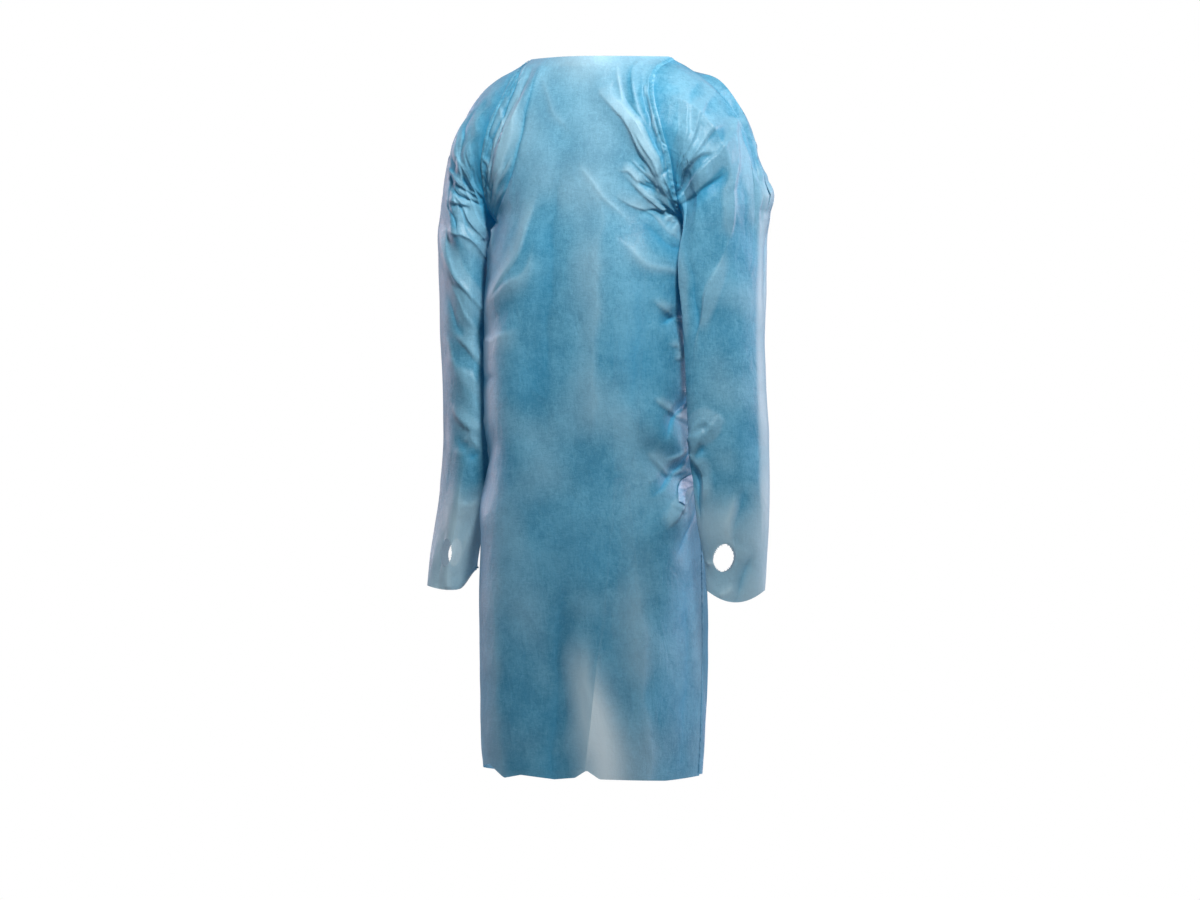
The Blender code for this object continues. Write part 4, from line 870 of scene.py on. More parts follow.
sleeves = {
    1: {
        "name": "sleeveLeft",
        "node": "sleeve_left",
        "fullness": 1.34,
        "middleDrop": 0.018, "innerRise": 0.0,
        "holeZ": -0.748, "holeAlong": -0.017, "holeLean": 12.0, "holeWidth": 0.033,
        # z, x, y, half width, half depth, crease angle
        "sections": (
            (-0.320, 0.2150, -0.030, 0.070, 0.036, 44.0),
            (-0.400, 0.2190, -0.034, 0.065, 0.034, 42.0),
            (-0.500, 0.2260, -0.040, 0.062, 0.032, 40.0),
            (-0.600, 0.2340, -0.045, 0.060, 0.030, 36.0),
            (-0.700, 0.2410, -0.050, 0.053, 0.026, 32.0),
            (-0.760, 0.2450, -0.050, 0.046, 0.020, 28.0),
            (-0.796, 0.2460, -0.052, 0.043, 0.016, 26.0),
        ),
        "folds": (
            (18, -0.108, 60, -0.288, 0.02, 0.003),
            (60, -0.288, 106, -0.513, 0.024, 0.004),
            (338, -0.19, 338, -0.235, 0.026, 0.014),
            (104, -0.56, 128, -0.61, 0.015, 0.006),
            (100, -0.62, 132, -0.64, 0.015, -0.005),
            (300, -0.15, 250, -0.26, 0.015, 0.006),
            (290, -0.33, 225, -0.44, 0.017, -0.005),
            (300, -0.56, 250, -0.65, 0.016, 0.005),
        ),
        "fanSides": (-1,),
        "facing": (  # the fan at the front of the armpit, then the pleats of the outer side
            (((0.114, -0.198), (0.124, -0.138), (0.129, -0.112), (0.129, -0.074), (0.132, -0.059),
             (0.143, -0.05)),
             0.0030, 0.0042, 0.6, 0.2, -0.3),
            (((0.116, -0.202), (0.128, -0.149), (0.139, -0.119), (0.15, -0.091), (0.161, -0.071),
             (0.17, -0.059)),
             0.0030, 0.0062, 0.6, 0.3, -0.5),
            (((0.117, -0.207), (0.135, -0.164), (0.15, -0.131), (0.165, -0.112), (0.188, -0.101)),
             0.003, 0.0052, 0.5, 0.1, -0.4),
            (((0.12, -0.198), (0.139, -0.161), (0.154, -0.146), (0.173, -0.143)),
             0.003, 0.006, 0.5, 0.3, -0.4),
            (((0.116, -0.217), (0.143, -0.183), (0.165, -0.153), (0.174, -0.147), (0.184, -0.131),
             (0.199, -0.097)),
             0.0030, 0.0056, 0.5, 0.5, 0.5),
            (((0.199, -0.097), (0.2, -0.138), (0.2, -0.176), (0.199, -0.213), (0.199, -0.251),
             (0.18, -0.299)),
             0.0030, 0.0046, 0.9, 0.0, 0.4),
            (((0.203, -0.101), (0.212, -0.138), (0.224, -0.176), (0.234, -0.213), (0.237, -0.251),
             (0.236, -0.303)),
             0.0030, 0.0046, 0.5, 0.0, 0.4),
            (((0.231, -0.157), (0.24, -0.183), (0.26, -0.228)), 0.003, 0.003, 0, 1, 0.3),
            (((0.114, -0.228), (0.135, -0.213), (0.165, -0.191), (0.197, -0.168)),
             0.003, -0.0044, 0.5, 0, 0.4),
            (((0.146, -0.102), (0.152, -0.098), (0.156, -0.088)), 0.0024, 0.0024, 0, 0, 0.2),
            (((0.186, -0.285), (0.174, -0.315), (0.152, -0.385), (0.138, -0.45)),
             0.003, 0.0046, 0.2, 0.1, -0.4),
            # the point where the sleeve bends at the elbow
            (((0.176, -0.54), (0.152, -0.561), (0.134, -0.568)), 0.0028, 0.0056, 0.3, 0.8, -0.4),
            (((0.152, -0.563), (0.142, -0.585), (0.137, -0.606)), 0.0028, 0.004, 0.5, 0, 0.3),
        ),
        "creases": (
            # upright pleats on the outer side
            (((-18, -0.11), (-12, -0.16), (-9, -0.205)), 0.0034, 0.0034, 0, 0, 0.2),
            (((-22, -0.196), (-16, -0.206), (-4, -0.214)), 0.004, 0.003, 0.6, 0, 0.2),
            (((-24, -0.232), (-20, -0.3), (-20, -0.4)), 0.006, -0.003, 0.5, 0, 0),
            # forearm, elbow and cuff
            (((132, -0.272), (129, -0.349), (116, -0.449)), 0.006, 0.0034, 0.2, 0, 0.2),
            (((104, -0.3), (92, -0.38), (88, -0.45)), 0.007, -0.0026, 0, 0, 0),
            (((128, -0.574), (110, -0.56), (90, -0.55), (76, -0.562)), 0.0042, 0.0052, 0.6, 0, 0.3),
            (((130, -0.59), (112, -0.596), (96, -0.58)), 0.004, -0.0044, 0.6, 0, 0),
            (((128, -0.596), (110, -0.622), (112, -0.668)), 0.0044, 0.0038, 0.4, 0, 0.2),
            (((136, -0.6), (124, -0.65), (124, -0.7)), 0.005, -0.0034, 0.3, 0, 0),
            (((30, -0.64), (48, -0.68), (62, -0.722)), 0.007, -0.0034, 0, 0.6, 0.2),
            (((52, -0.65), (64, -0.69), (72, -0.722)), 0.006, 0.0026, 0, 0.6, 0),
            (((136, -0.756), (120, -0.758), (104, -0.752)), 0.0034, 0.0022, 0.3, 0.3, 0),
            (((34, -0.742), (48, -0.77), (62, -0.806)), 0.006, -0.003, 0.2, 0.4, 0),
            (((70, -0.785), (84, -0.8), (104, -0.806)), 0.0044, 0.0022, 0.2, 0.2, 0),
            # the same fan behind, and the back of the sleeve
            (((-14, -0.03), (-54, -0.09), (-88, -0.14), (-132, -0.212)), 0.0038, 0.0036, 0.2, 1, 0.2),
            (((-30, -0.07), (-64, -0.11), (-100, -0.168), (-136, -0.218)), 0.004, -0.0048, 0.1, 0.9, 0),
            (((-20, -0.11), (-56, -0.15), (-96, -0.192), (-130, -0.214)), 0.0042, 0.005, 0, 0.9, 0.3),
            (((-48, -0.16), (-86, -0.196), (-122, -0.222)), 0.005, -0.0052, 0, 0.8, 0),
            (((-26, -0.18), (-52, -0.25), (-66, -0.34), (-84, -0.46)), 0.0052, 0.0046, 0, 0, 0.3),
            (((-110, -0.25), (-100, -0.33), (-92, -0.42)), 0.006, -0.0034, 0.2, 0, 0),
            (((-128, -0.56), (-104, -0.556), (-80, -0.58)), 0.0046, 0.0044, 0.4, 0, 0.2),
            (((-126, -0.6), (-100, -0.616), (-74, -0.66)), 0.0048, -0.004, 0.4, 0, 0),
            (((-60, -0.64), (-66, -0.69), (-64, -0.73)), 0.0056, 0.003, 0, 0.4, 0),
        ),
    },
    -1: {
        "name": "sleeveRight",
        "node": "sleeve_right",
        "fullness": 1.22,
        "middleDrop": 0.006, "innerRise": 0.024,
        "holeZ": -0.742, "holeAlong": 0.005, "holeLean": -6.0, "holeWidth": 0.020,
        "sections": (
            (-0.320, 0.2140, -0.026, 0.063, 0.036, 55.0),
            (-0.400, 0.2110, -0.028, 0.060, 0.037, 53.0),
            (-0.500, 0.2080, -0.033, 0.058, 0.034, 50.0),
            (-0.600, 0.2010, -0.042, 0.053, 0.032, 38.0),
            (-0.700, 0.2136, -0.046, 0.042, 0.027, 8.0),
            (-0.760, 0.2199, -0.050, 0.038, 0.022, -15.0),
            (-0.792, 0.2216, -0.050, 0.038, 0.019, -20.0),
        ),
        "folds": (
            (46, -0.108, 62, -0.167, 0.014, 0.0036),
            (65, -0.202, 83, -0.261, 0.014, 0.0042),
            (83, -0.261, 108, -0.28, 0.014, 0.0036),
            (50, -0.215, 72, -0.27, 0.014, -0.003),
            (25, -0.256, 72, -0.312, 0.016, 0.0042),
            (72, -0.312, 112, -0.38, 0.016, 0.0036),
            (76, -0.46, 112, -0.505, 0.016, 0.003),
            (95, -0.6, 106, -0.79, 0.02, 0.0084),
            (300, -0.15, 250, -0.25, 0.015, 0.0036),
            (285, -0.33, 230, -0.42, 0.017, -0.003),
            (300, -0.56, 260, -0.65, 0.016, 0.003),
        ),
        "fanSides": (1, -1),
        "facing": (
            (((-0.236, -0.258), (-0.225, -0.303), (-0.206, -0.341), (-0.18, -0.378)),
             0.003, 0.005, 0.3, 0.8, -0.4),
            (((-0.221, -0.416), (-0.199, -0.434), (-0.176, -0.461)), 0.003, 0.0046, 0.1, 0.8, -0.4),
            (((-0.233, -0.254), (-0.206, -0.266), (-0.173, -0.299)), 0.003, 0.0044, 0.2, 0.8, -0.3),
            (((-0.195, -0.11), (-0.19, -0.18), (-0.176, -0.248)), 0.0028, 0.004, 0, 0.8, 0.4),
            (((-0.214, -0.146), (-0.2, -0.2), (-0.178, -0.256)), 0.0028, 0.0044, 0, 0.8, 0.4),
            (((-0.225, -0.191), (-0.202, -0.236), (-0.18, -0.27)), 0.0028, 0.0042, 0.1, 0.8, -0.3),
            (((-0.226, -0.52), (-0.206, -0.548), (-0.186, -0.56)), 0.003, 0.0036, 0, 0.6, -0.3),
        ),
        "creases": (
            (((21, -0.045), (57, -0.094), (93, -0.153), (128, -0.205)), 0.0038, 0.0025, 0.2, 0.9, 0.2),
            (((12, -0.06), (39, -0.085), (75, -0.139), (102, -0.185), (134, -0.216)),
             0.0038, -0.0029, 0.2, 0.9, 0),
            (((40, -0.095), (56, -0.112), (84, -0.155), (98, -0.18)), 0.0036, 0.0029, 0, 0.3, 0.3),
            (((48, -0.15), (66, -0.18), (96, -0.206), (130, -0.222)), 0.0042, -0.0029, 0, 0.8, 0),
            (((70, -0.19), (84, -0.206), (104, -0.245), (118, -0.268), (146, -0.279)),
             0.0044, 0.0032, 0, 0.4, 0.3),
            (((62, -0.212), (84, -0.244), (100, -0.274)), 0.0044, -0.0027, 0, 0, 0),
            (((40, -0.236), (60, -0.258), (84, -0.313), (120, -0.356), (160, -0.378)),
             0.0044, 0.0033, 0, 0.3, 0.3),
            (((36, -0.262), (64, -0.3), (92, -0.35)), 0.005, -0.0027, 0, 0, 0),
            (((74, -0.325), (102, -0.379), (154, -0.424)), 0.0046, 0.0026, 0, 0.3, 0.2),
            (((60, -0.352), (84, -0.4), (110, -0.43)), 0.005, -0.0022, 0, 0, 0),
            (((58, -0.405), (78, -0.449), (96, -0.47)), 0.0046, 0.0022, 0, 0, 0.2),
            (((80, -0.456), (120, -0.48), (158, -0.502)), 0.0046, 0.0026, 0, 0.3, 0.2),
            (((66, -0.532), (100, -0.556), (134, -0.59)), 0.005, 0.0024, 0, 0.3, 0),
            (((70, -0.562), (96, -0.59), (124, -0.61)), 0.005, -0.0021, 0, 0.2, 0),
            (((96, -0.61), (100, -0.68), (106, -0.792)), 0.0046, 0.0032, 0.2, 1, 0.4),
            (((92, -0.664), (116, -0.668), (140, -0.66)), 0.004, 0.0019, 0, 0.2, 0.2),
            (((78, -0.7), (84, -0.74), (82, -0.786)), 0.005, -0.0021, 0, 0.5, 0),
            (((124, -0.7), (126, -0.75), (130, -0.786)), 0.005, 0.0016, 0, 0.4, 0),
            (((6, -0.1), (14, -0.19), (22, -0.29), (26, -0.4)), 0.005, 0.0027, 0, 0, 0.3),
            (((-8, -0.12), (-4, -0.22), (2, -0.33)), 0.0046, -0.004, 0, 0, 0),
            (((14, -0.5), (20, -0.6), (36, -0.69)), 0.0056, 0.0019, 0, 0, 0),
            (((-16, -0.03), (-52, -0.092), (-90, -0.15), (-130, -0.208)), 0.0038, 0.0038, 0.2, 1, 0.2),
            (((-30, -0.08), (-66, -0.126), (-104, -0.182), (-134, -0.218)), 0.004, -0.0046, 0.1, 0.9, 0),
            (((-24, -0.14), (-60, -0.184), (-100, -0.212), (-128, -0.222)), 0.0044, 0.0048, 0, 0.9, 0.3),
            (((-30, -0.21), (-56, -0.29), (-70, -0.39), (-86, -0.48)), 0.0052, 0.0044, 0, 0, 0.3),
            (((-114, -0.27), (-100, -0.35), (-94, -0.44)), 0.006, -0.0034, 0.2, 0, 0),
            (((-128, -0.56), (-104, -0.57), (-80, -0.6)), 0.0046, 0.0042, 0.4, 0, 0.2),
            (((-70, -0.64), (-72, -0.7), (-68, -0.76)), 0.0056, 0.003, 0, 0.4, 0),
        ),
    },
}


def turnsOf(count):  # the angles round a sleeve, 0 at its top
    return np.arange(count) / count * 2 * math.pi


def sleeveRing(cut, place, turn):
    z, x, y, width, depth, angle = (readSmooth(cut["sections"], column, place) for column in range(6))
    angle = np.radians(angle)
    local = turn + angle
    along = width * np.cos(local)
    deep = depth * np.sin(local) * abs(np.sin(local)) ** sleeve["pointed"]
    return np.stack([
        x + along * np.cos(angle) + deep * np.sin(angle),
        y + along * np.sin(angle) - deep * np.cos(angle),
        z + 0 * local,
    ], axis=-1)


def armholeLoop(frontHalf, backHalf):  # shoulder tip, down the front edge, up the back edge
    first = len(frontHalf) - 1 - cloth["halfRing"]
    frontNormals, backNormals = gridNormals(frontHalf), gridNormals(backHalf)
    points = np.concatenate([frontHalf[first:, -1][::-1], backHalf[first:, 0][1:-1]])
    normals = np.concatenate([frontNormals[first:, -1][::-1], backNormals[first:, 0][1:-1]])
    inward = cloth["frontColumns"] // 28, cloth["backColumns"] // 10
    frontWays = (frontHalf[first:, -1] - frontHalf[first:, -1 - inward[0]])[::-1]
    backWays = (backHalf[first:, 0] - backHalf[first:, inward[1]])[1:-1]
    ways = np.concatenate([frontWays, backWays])
    half = cloth["halfRing"]
    points[0] = (frontHalf[-1, -1] + backHalf[-1, 0]) / 2
    points[half] = (frontHalf[first, -1] + backHalf[first, 0]) / 2
    normals[0], normals[half] = sleeve["shoulderNormal"], (1.0, 0.0, 0.0)
    ways /= np.linalg.norm(ways, axis=1, keepdims=True)
    ways[0] = sleeve["shoulderWay"]
    step, count = cloth["fineness"], len(ways)  # only the broad run of the panels counts
    knots = np.arange(0, count + 1, step)
    ways = np.stack([np.interp(np.arange(count), knots, ways[knots % count, k]) for k in range(3)], axis=1)
    return points, normals, ways / np.linalg.norm(ways, axis=1, keepdims=True)


def shoulderRings(start, ways, cut, turns):  # from the armhole to the sleeve's first section
    count = len(turns)
    low = fade(-np.cos(turns), 0.25, 1.0)[:, None]
    high = (0.5 + 0.5 * np.cos(turns))[:, None]
    swing = sleeve["armpitFullness"] + (cut["fullness"] - sleeve["armpitFullness"]) * high
    away = ways * (1 - low) + np.array(sleeve["armpitWay"]) * low
    away /= np.linalg.norm(away, axis=1, keepdims=True)
    end = sleeveRing(cut, np.zeros(count), turns)
    after = sleeveRing(cut, np.full(count, 0.1), turns)
    down = (after - end) / np.linalg.norm(after - end, axis=1, keepdims=True)
    reach = np.linalg.norm(end - start, axis=1, keepdims=True)
    return np.array([
        easeBetween(t, start, away * reach * swing, end, down * reach * swing)
        for t in np.linspace(0.0, 1.0, cloth["shoulderRings"], endpoint=False)
    ])


def sleeveGrid(frontHalf, backHalf, cut, side, seed):
    turns = turnsOf(2 * cloth["halfRing"])
    points, normals, ways = armholeLoop(frontHalf, backHalf)
    top = shoulderRings(points + normals * cloth["seamLift"], ways, cut, turns)
    places = meshPlaces(cut["sections"], sleeve["steps"])
    place, turn = np.meshgrid(places, turns, indexing="ij")
    grid = np.concatenate([top, sleeveRing(cut, place, turn)])
    local = turns + math.radians(cut["sections"][-1][5])
    cuffEnd = -cut["middleDrop"] * np.sin(local) ** 2 + cut["innerRise"] * fade(-np.cos(local), 0.2, 1.0)
    share = np.concatenate([np.zeros(len(top)), fade(places, 5.0, 6.0)])
    grid[..., 2] += share[:, None] * cuffEnd
    z = grid[..., 2]
    scale = sleeve["perDegree"]
    rounds = np.linalg.norm(grid - np.roll(grid, 1, axis=1), axis=2).sum(axis=1)
    stretch = (rounds / (360 * scale))[:, None]
    creases = list(cut["creases"])
    for flip in cut["fanSides"]:
        creases += fansOf(sleeve["fans"], flip, seed, scale)
    lift, fine = np.zeros_like(z), np.zeros_like(z)
    for whole in (-360.0, 0.0, 360.0):  # so that a crease may cross the top of the sleeve
        x = (np.degrees(turns)[None, :] + 0 * z + whole) * scale
        lift += foldHeight(cut["folds"], x, z, scale)
        fine += creaseHeight(creases, x, z, scale, stretch)
    normals = gridNormals(grid, ring=True)
    toSide = np.array([side, 1.0, 1.0])
    fine += facingCreases(cut["facing"], grid * toSide, normals * toSide)
    nearArm = 1 - fade(-z, 0.12, 0.36)
    buckles = crumple(grid * (1.0, 1.0, 0.55), 0.045, seed)
    fine += sleeve["crumple"] * (0.25 + 0.75 * nearArm) * buckles
    fine += sleeve["ripple"] * softNoise(grid, 0.07, seed + 3)
    rows = np.arange(len(grid), dtype=float)[:, None]
    offset = lift * fade(rows, 0.0, 30.0) + fine * fade(rows, 0.0, 3.0)
    return grid + normals * offset[..., None], fine


def punchHole(grid, cut):  # marks points inside the oval and draws the ones next to it onto its edge
    sections = cut["sections"]
    place = np.interp(-cut["holeZ"], [-row[0] for row in sections], range(len(sections)))
    turn = math.radians(float(readSmooth(sections, 5, place)))
    x = float(readSmooth(sections, 1, place)) + cut["holeAlong"] * math.cos(turn)
    y = float(readSmooth(sections, 2, place)) + cut["holeAlong"] * math.sin(turn)
    centre = np.array([x, y, cut["holeZ"]])
    facing = Euler((0.0, math.radians(cut["holeLean"]), turn), "XYZ").to_matrix()
    turnBack = np.array(facing.transposed())
    local = (grid - centre) @ turnBack.T
    flat = local[..., (0, 2)] / np.array([cut["holeWidth"] / 2, sleeve["holeHeight"] / 2])
    far = np.linalg.norm(flat, axis=-1)
    inside = far < 1.0
    edge = np.zeros_like(inside)
    for axis in (0, 1):
        for step in (-1, 1):
            edge |= inside & np.roll(~inside, step, axis=axis)
    moved = local[..., (0, 2)] / np.maximum(far, 1e-6)[..., None]
    for k, axis in enumerate((0, 2)):
        local[..., axis] = np.where(edge, moved[..., k], local[..., axis])
    return local @ turnBack + centre, inside


def alongSide(side, values):  # rows that run the other way on the right side
    return values if side > 0 else values[:, ::-1]


def onSide(side, grid):  # a grid of the left side, or its mirror image
    return alongSide(side, grid * np.array([side, 1.0, 1.0]))


def filmData(tone, crinkled, sheer):
    # the sheer mask is added to the tone, so sheer places are painted paler as painted backlight
    return np.stack([tone + sheer, crinkled, sheer], axis=-1)


def sleeveCrinkle(grid):  # most at the armhole, some at the elbow and on the inner side
    z = grid[..., 2]
    inner = 0.5 - 0.5 * np.cos(turnsOf(grid.shape[1]))[None, :]
    elbow = np.exp(-(((z - shade["elbowZ"]) / shade["elbowReach"]) ** 2))
    arm = 1 - fade(-z, 0.05, 0.34)
    return shade["armCrinkle"] * arm + shade["elbowCrinkle"] * inner * elbow + shade["crinkle"]


def bodySheerAndBacklight(grid):  # a soft patch above the hem, where one layer lets the light through, and the neck edge; there the film is more see-through and is painted paler as a painted backlight
    x, z = grid[..., 0], grid[..., 2]
    middle = 0.046 + 0.036 * fade(-z, 0.86, 1.06)
    hem = shade["hemSheerAndBacklight"] * np.exp(-(((x - middle) / shade["hemWidth"]) ** 2)) * fade(-z, 0.84, 0.98)
    return hem + shade["neckSheerAndBacklight"] * np.exp(-((x / shade["neckWidth"]) ** 2)) * fade(z, -0.07, -0.01)


def sleeveTone(grid, fine):  # painted shade, deepest at the armpit and along the armhole rows where the cloth bunches, over the crease tone
    rows = np.arange(len(grid), dtype=float)[:, None]
    low = 0.5 - 0.5 * np.cos(turnsOf(grid.shape[1]))[None, :]  # 1 at the armpit
    # painted shade at the armhole rows, strongest at the armpit
    arm = np.exp(-rows / 6.0) * (0.3 + 0.6 * low) + 0.6 * low**2 * np.exp(-((rows / 24.0) ** 2))
    # crease hollows painted deeper as painted shade and ridges paler as painted highlight, less the painted
    # shade at the armhole
    return np.clip(fine / shade["creaseHeight"], *shade["sleeveTones"]) - arm


def sleeveSheerAndBacklight(grid, cut):  # the outer fold lies flat and empty, and so does the cuff; there the film is more see-through and is painted paler as a painted backlight
    turns = turnsOf(grid.shape[1])[None, :]
    z = grid[..., 2]
    rows = cut["sections"][::-1]
    angle = np.interp(z, [row[0] for row in rows], [row[5] for row in rows])
    outer = fade(np.cos(turns + np.radians(angle)), 0.60, 0.78) * fade(-z, 0.17, 0.25)
    return np.maximum(shade["outerSheerAndBacklight"] * outer, shade["cuffSheerAndBacklight"] * fade(-z, 0.62, 0.70))


halves = {side: onSide(side, front) for side in (1, -1)}
frontFilm = filmData(frontPaintedLightAndShade, frontCrinkle, bodySheerAndBacklight(front))
panels = [surfaceObject("frontPanel", front, coatedFilm, film=frontFilm)]
finishPiece(panels[0], "coated_film", "front_panel")
for side, label in ((1, "Left"), (-1, "Right")):
    film = filmData(backPaintedLightAndShade[side], backCrinkle[side], 0 * backPaintedLightAndShade[side])
    grid = onSide(side, back[side])
    piece = surfaceObject("backPanel" + label, grid, coatedFilm, film=alongSide(side, film))
    panels.append(finishPiece(piece, "coated_film", "back_panel_" + label.lower()))

for side, cut in sleeves.items():
    grid, fine = sleeveGrid(halves[side], back[side], cut, side, 11 + 4 * side)
    grid, inside = punchHole(grid, cut)
    film = filmData(sleeveTone(grid, fine), sleeveCrinkle(grid), sleeveSheerAndBacklight(grid, cut))
    piece = surfaceObject(
        cut["name"], onSide(side, grid), coatedFilm, ring=True,
        dropped=alongSide(side, inside), film=alongSide(side, film),
    )
    panels.append(finishPiece(piece, "coated_film", cut["node"]))
print("panels and sleeves made")


# seams

seam = {
    "width": 0.0065,
    "stand": 0.0011,
    "pucker": 0.0012,
    "puckerRun": 0.0085,  # metres from one pucker to the next
}


def besideEdge(rows, distances):  # points along each row at given distances from its first point
    out = []
    for line in rows:
        runs = np.append(0.0, np.cumsum(np.linalg.norm(np.diff(line[:, :3], axis=0), axis=1)))
        out.append([[np.interp(d, runs, line[:, k]) for k in range(line.shape[1])] for d in distances])
    return np.array(out)


def seamStrip(name, rows, distances, heights):
    found = besideEdge(rows, distances)
    points, normals = found[..., :3], found[..., 3:]
    run = np.append(0.0, np.cumsum(np.linalg.norm(np.diff(points[:, 0], axis=0), axis=1)))
    phase = run / seam["puckerRun"] + 0.6 * np.sin(run * 61.0)
    ripple = seam["pucker"] * (0.5 + 0.5 * np.sin(run * 23.0 + 1.0)) * np.sin(2 * math.pi * phase)
    lift = np.array(heights)[None, :] + ripple[:, None] * np.linspace(0.15, 1.0, len(distances))[None, :]
    lift = np.maximum(lift, 0.0004)
    piece = surfaceObject(name, points + normals * lift[..., None], weldedFilm)
    return finishPiece(piece, "coated_film")


def withNormals(grid):
    return np.concatenate([grid, gridNormals(grid)], axis=2)


for side, label in ((1, "Left"), (-1, "Right")):
    frontHalf, backHalf = withNormals(halves[side]), withNormals(back[side])
    first = len(frontHalf) - 1 - cloth["halfRing"]
    inwards = frontHalf[:, ::-1]
    off = np.linspace(0.0, 0.02, 12)
    loop = np.concatenate([
        besideEdge(inwards[first:, :30][::-1], off), besideEdge(backHalf[first:, :16], off)
    ])
    sideRows = inwards[: first + 1, :20]
    toSide = np.array([side, 1.0, 1.0, side, 1.0, 1.0])
    width = seam["width"]
    seamStrip(
        "armholeSeam" + label, loop * toSide, np.linspace(0.0, width, 5),
        seam["stand"] * np.array([0.5, 1.0, 1.15, 0.9, 0.5]),
    )
    seamStrip(
        "sideSeam" + label, sideRows * toSide, np.linspace(0.0, 0.8 * width, 4),
        seam["stand"] * np.array([0.4, 0.9, 0.8, 0.4]),
    )
print("seams made")


# waist tie

tie = {
    "girth": 0.92,
    "stand": 0.0014,
    "cuts": 10,  # rows of the fine mesh between two points
    "wall": 0.0005,
    # girth from the centre front round to the centre back, z, width
    "path": (
        (0.366, -0.668, 0.011), (0.392, -0.650, 0.014), (0.432, -0.636, 0.018), (0.520, -0.630, 0.020),
        (0.600, -0.629, 0.020), (0.700, -0.628, 0.020), (0.800, -0.627, 0.019), (0.880, -0.626, 0.017),
        (0.930, -0.625, 0.014),
    ),
    "knotZ": -0.625, "knotSize": (0.024, 0.016, 0.026), "knotOff": 0.010,
    "tailWidth": 0.020,
    # x and y from the knot, drop, turn in degrees
    "tail": (
        (0.004, 0.000, 0.0100, 0.0), (0.010, 0.003, 0.050, 12.0), (0.016, 0.005, 0.100, 26.0),
        (0.021, 0.004, 0.160, 34.0), (0.027, 0.003, 0.220, 22.0), (0.030, 0.002, 0.265, 10.0),
    ),
}


def onPanels(frontHalf, backHalf, girth, z):
    if girth <= 0.5:
        grid, column = frontHalf, (cloth["frontColumns"] / 2) * (1 + 2 * girth)
    else:
        grid, column = backHalf, cloth["backColumns"] * 2 * (girth - 0.5)
    low = min(int(column), grid.shape[1] - 2)
    share = column - low
    line = grid[:-cloth["halfRing"], low] * (1 - share) + grid[:-cloth["halfRing"], low + 1] * share
    found = np.array([np.interp(z, line[:, 2], line[:, k]) for k in range(6)])
    return found[:3], found[3:] / np.linalg.norm(found[3:])


def knotY(side):
    column = back[side][:-cloth["halfRing"], -1]
    return float(np.interp(tie["knotZ"], column[:, 2], column[:, 1])) + tie["knotOff"]


def tieGrid(side, path):
    frontHalf, backHalf = withNormals(halves[side]), withNormals(back[side])
    last = len(path) - 1.0
    rows = []
    for place in np.linspace(0.0, last, tie["cuts"] * (len(path) - 1) + 1):
        girth, z, width = (float(readSmooth(path, k, place)) for k in range(3))
        near = np.clip([place - 0.2, place + 0.2], 0.0, last)
        run = np.diff(readSmooth(path, 0, near))[0] * tie["girth"] / 2
        lean = math.atan2(np.diff(readSmooth(path, 1, near))[0], run)
        row = []
        for across in np.linspace(-0.5, 0.5, 9):
            off = across * width
            at = girth - off * math.sin(lean) / (tie["girth"] / 2)
            point, normal = onPanels(frontHalf, backHalf, at, z + off * math.cos(lean))
            crown = 0.0007 * math.cos(math.pi * across) + 0.0005 * math.sin(place * 9.0 + across * 7.0)
            row.append(point + normal * (tie["stand"] + crown))
        rows.append(row)
    half = 0.35 * path[-1][2]
    start = np.array(rows[-1])
    end = np.array([
        (tie["knotSize"][0] * 0.42, knotY(side) + 0.0015 * math.sin(9 * a), tie["knotZ"] + 2 * half * a)
        for a in np.linspace(-0.5, 0.5, 9)
    ])
    for t in np.linspace(0.0, 1.0, 13)[1:]:
        pleat = 0.0012 * np.sin(np.linspace(0, 5 * math.pi, 9)) * math.sin(math.pi * min(t, 0.8))
        row = start * (1 - t) + end * t
        row[:, 1] += pleat
        rows.append(row)
    return np.array(rows)


def tailGrid(side):
    rows = []
    last = len(tie["tail"]) - 1.0
    for place in np.linspace(0.0, last, 14 * int(last) + 1):
        x, y, drop, turn = (float(readSmooth(tie["tail"], k, place)) for k in range(4))
        width = tie["tailWidth"] * (0.45 + 0.55 * min(place, 1.0))
        angle = math.radians(turn) + 0.25 * math.sin(place * 2.1 + side)
        way = np.array([math.cos(angle), math.sin(angle), 0.0])
        out = np.array([-math.sin(angle), math.cos(angle), 0.0])
        middle = np.array([x + tie["tailWidth"] * 0.25, knotY(side) + y, tie["knotZ"] - drop])
        rows.append([
            middle + way * width * a
            + out * (0.0016 * math.cos(2 * math.pi * a) + 0.0014 * math.sin(place * 5.0 + 3 * a + side))
            for a in np.linspace(-0.5, 0.5, 9)
        ])
    return np.array(rows)


for side, label, path in ((1, "Left", tie["path"]), (-1, "Right", tie["path"][2:])):
    strips = (("waistTie", "waist_tie_", tieGrid(side, path)), ("tieTail", "tie_tail_", tailGrid(side)))
    for kind, node, grid in strips:
        piece = thicken(surfaceObject(kind + label, onSide(side, grid), tieFilm), tie["wall"])
        finishPiece(piece, "tie_film", node + label.lower())


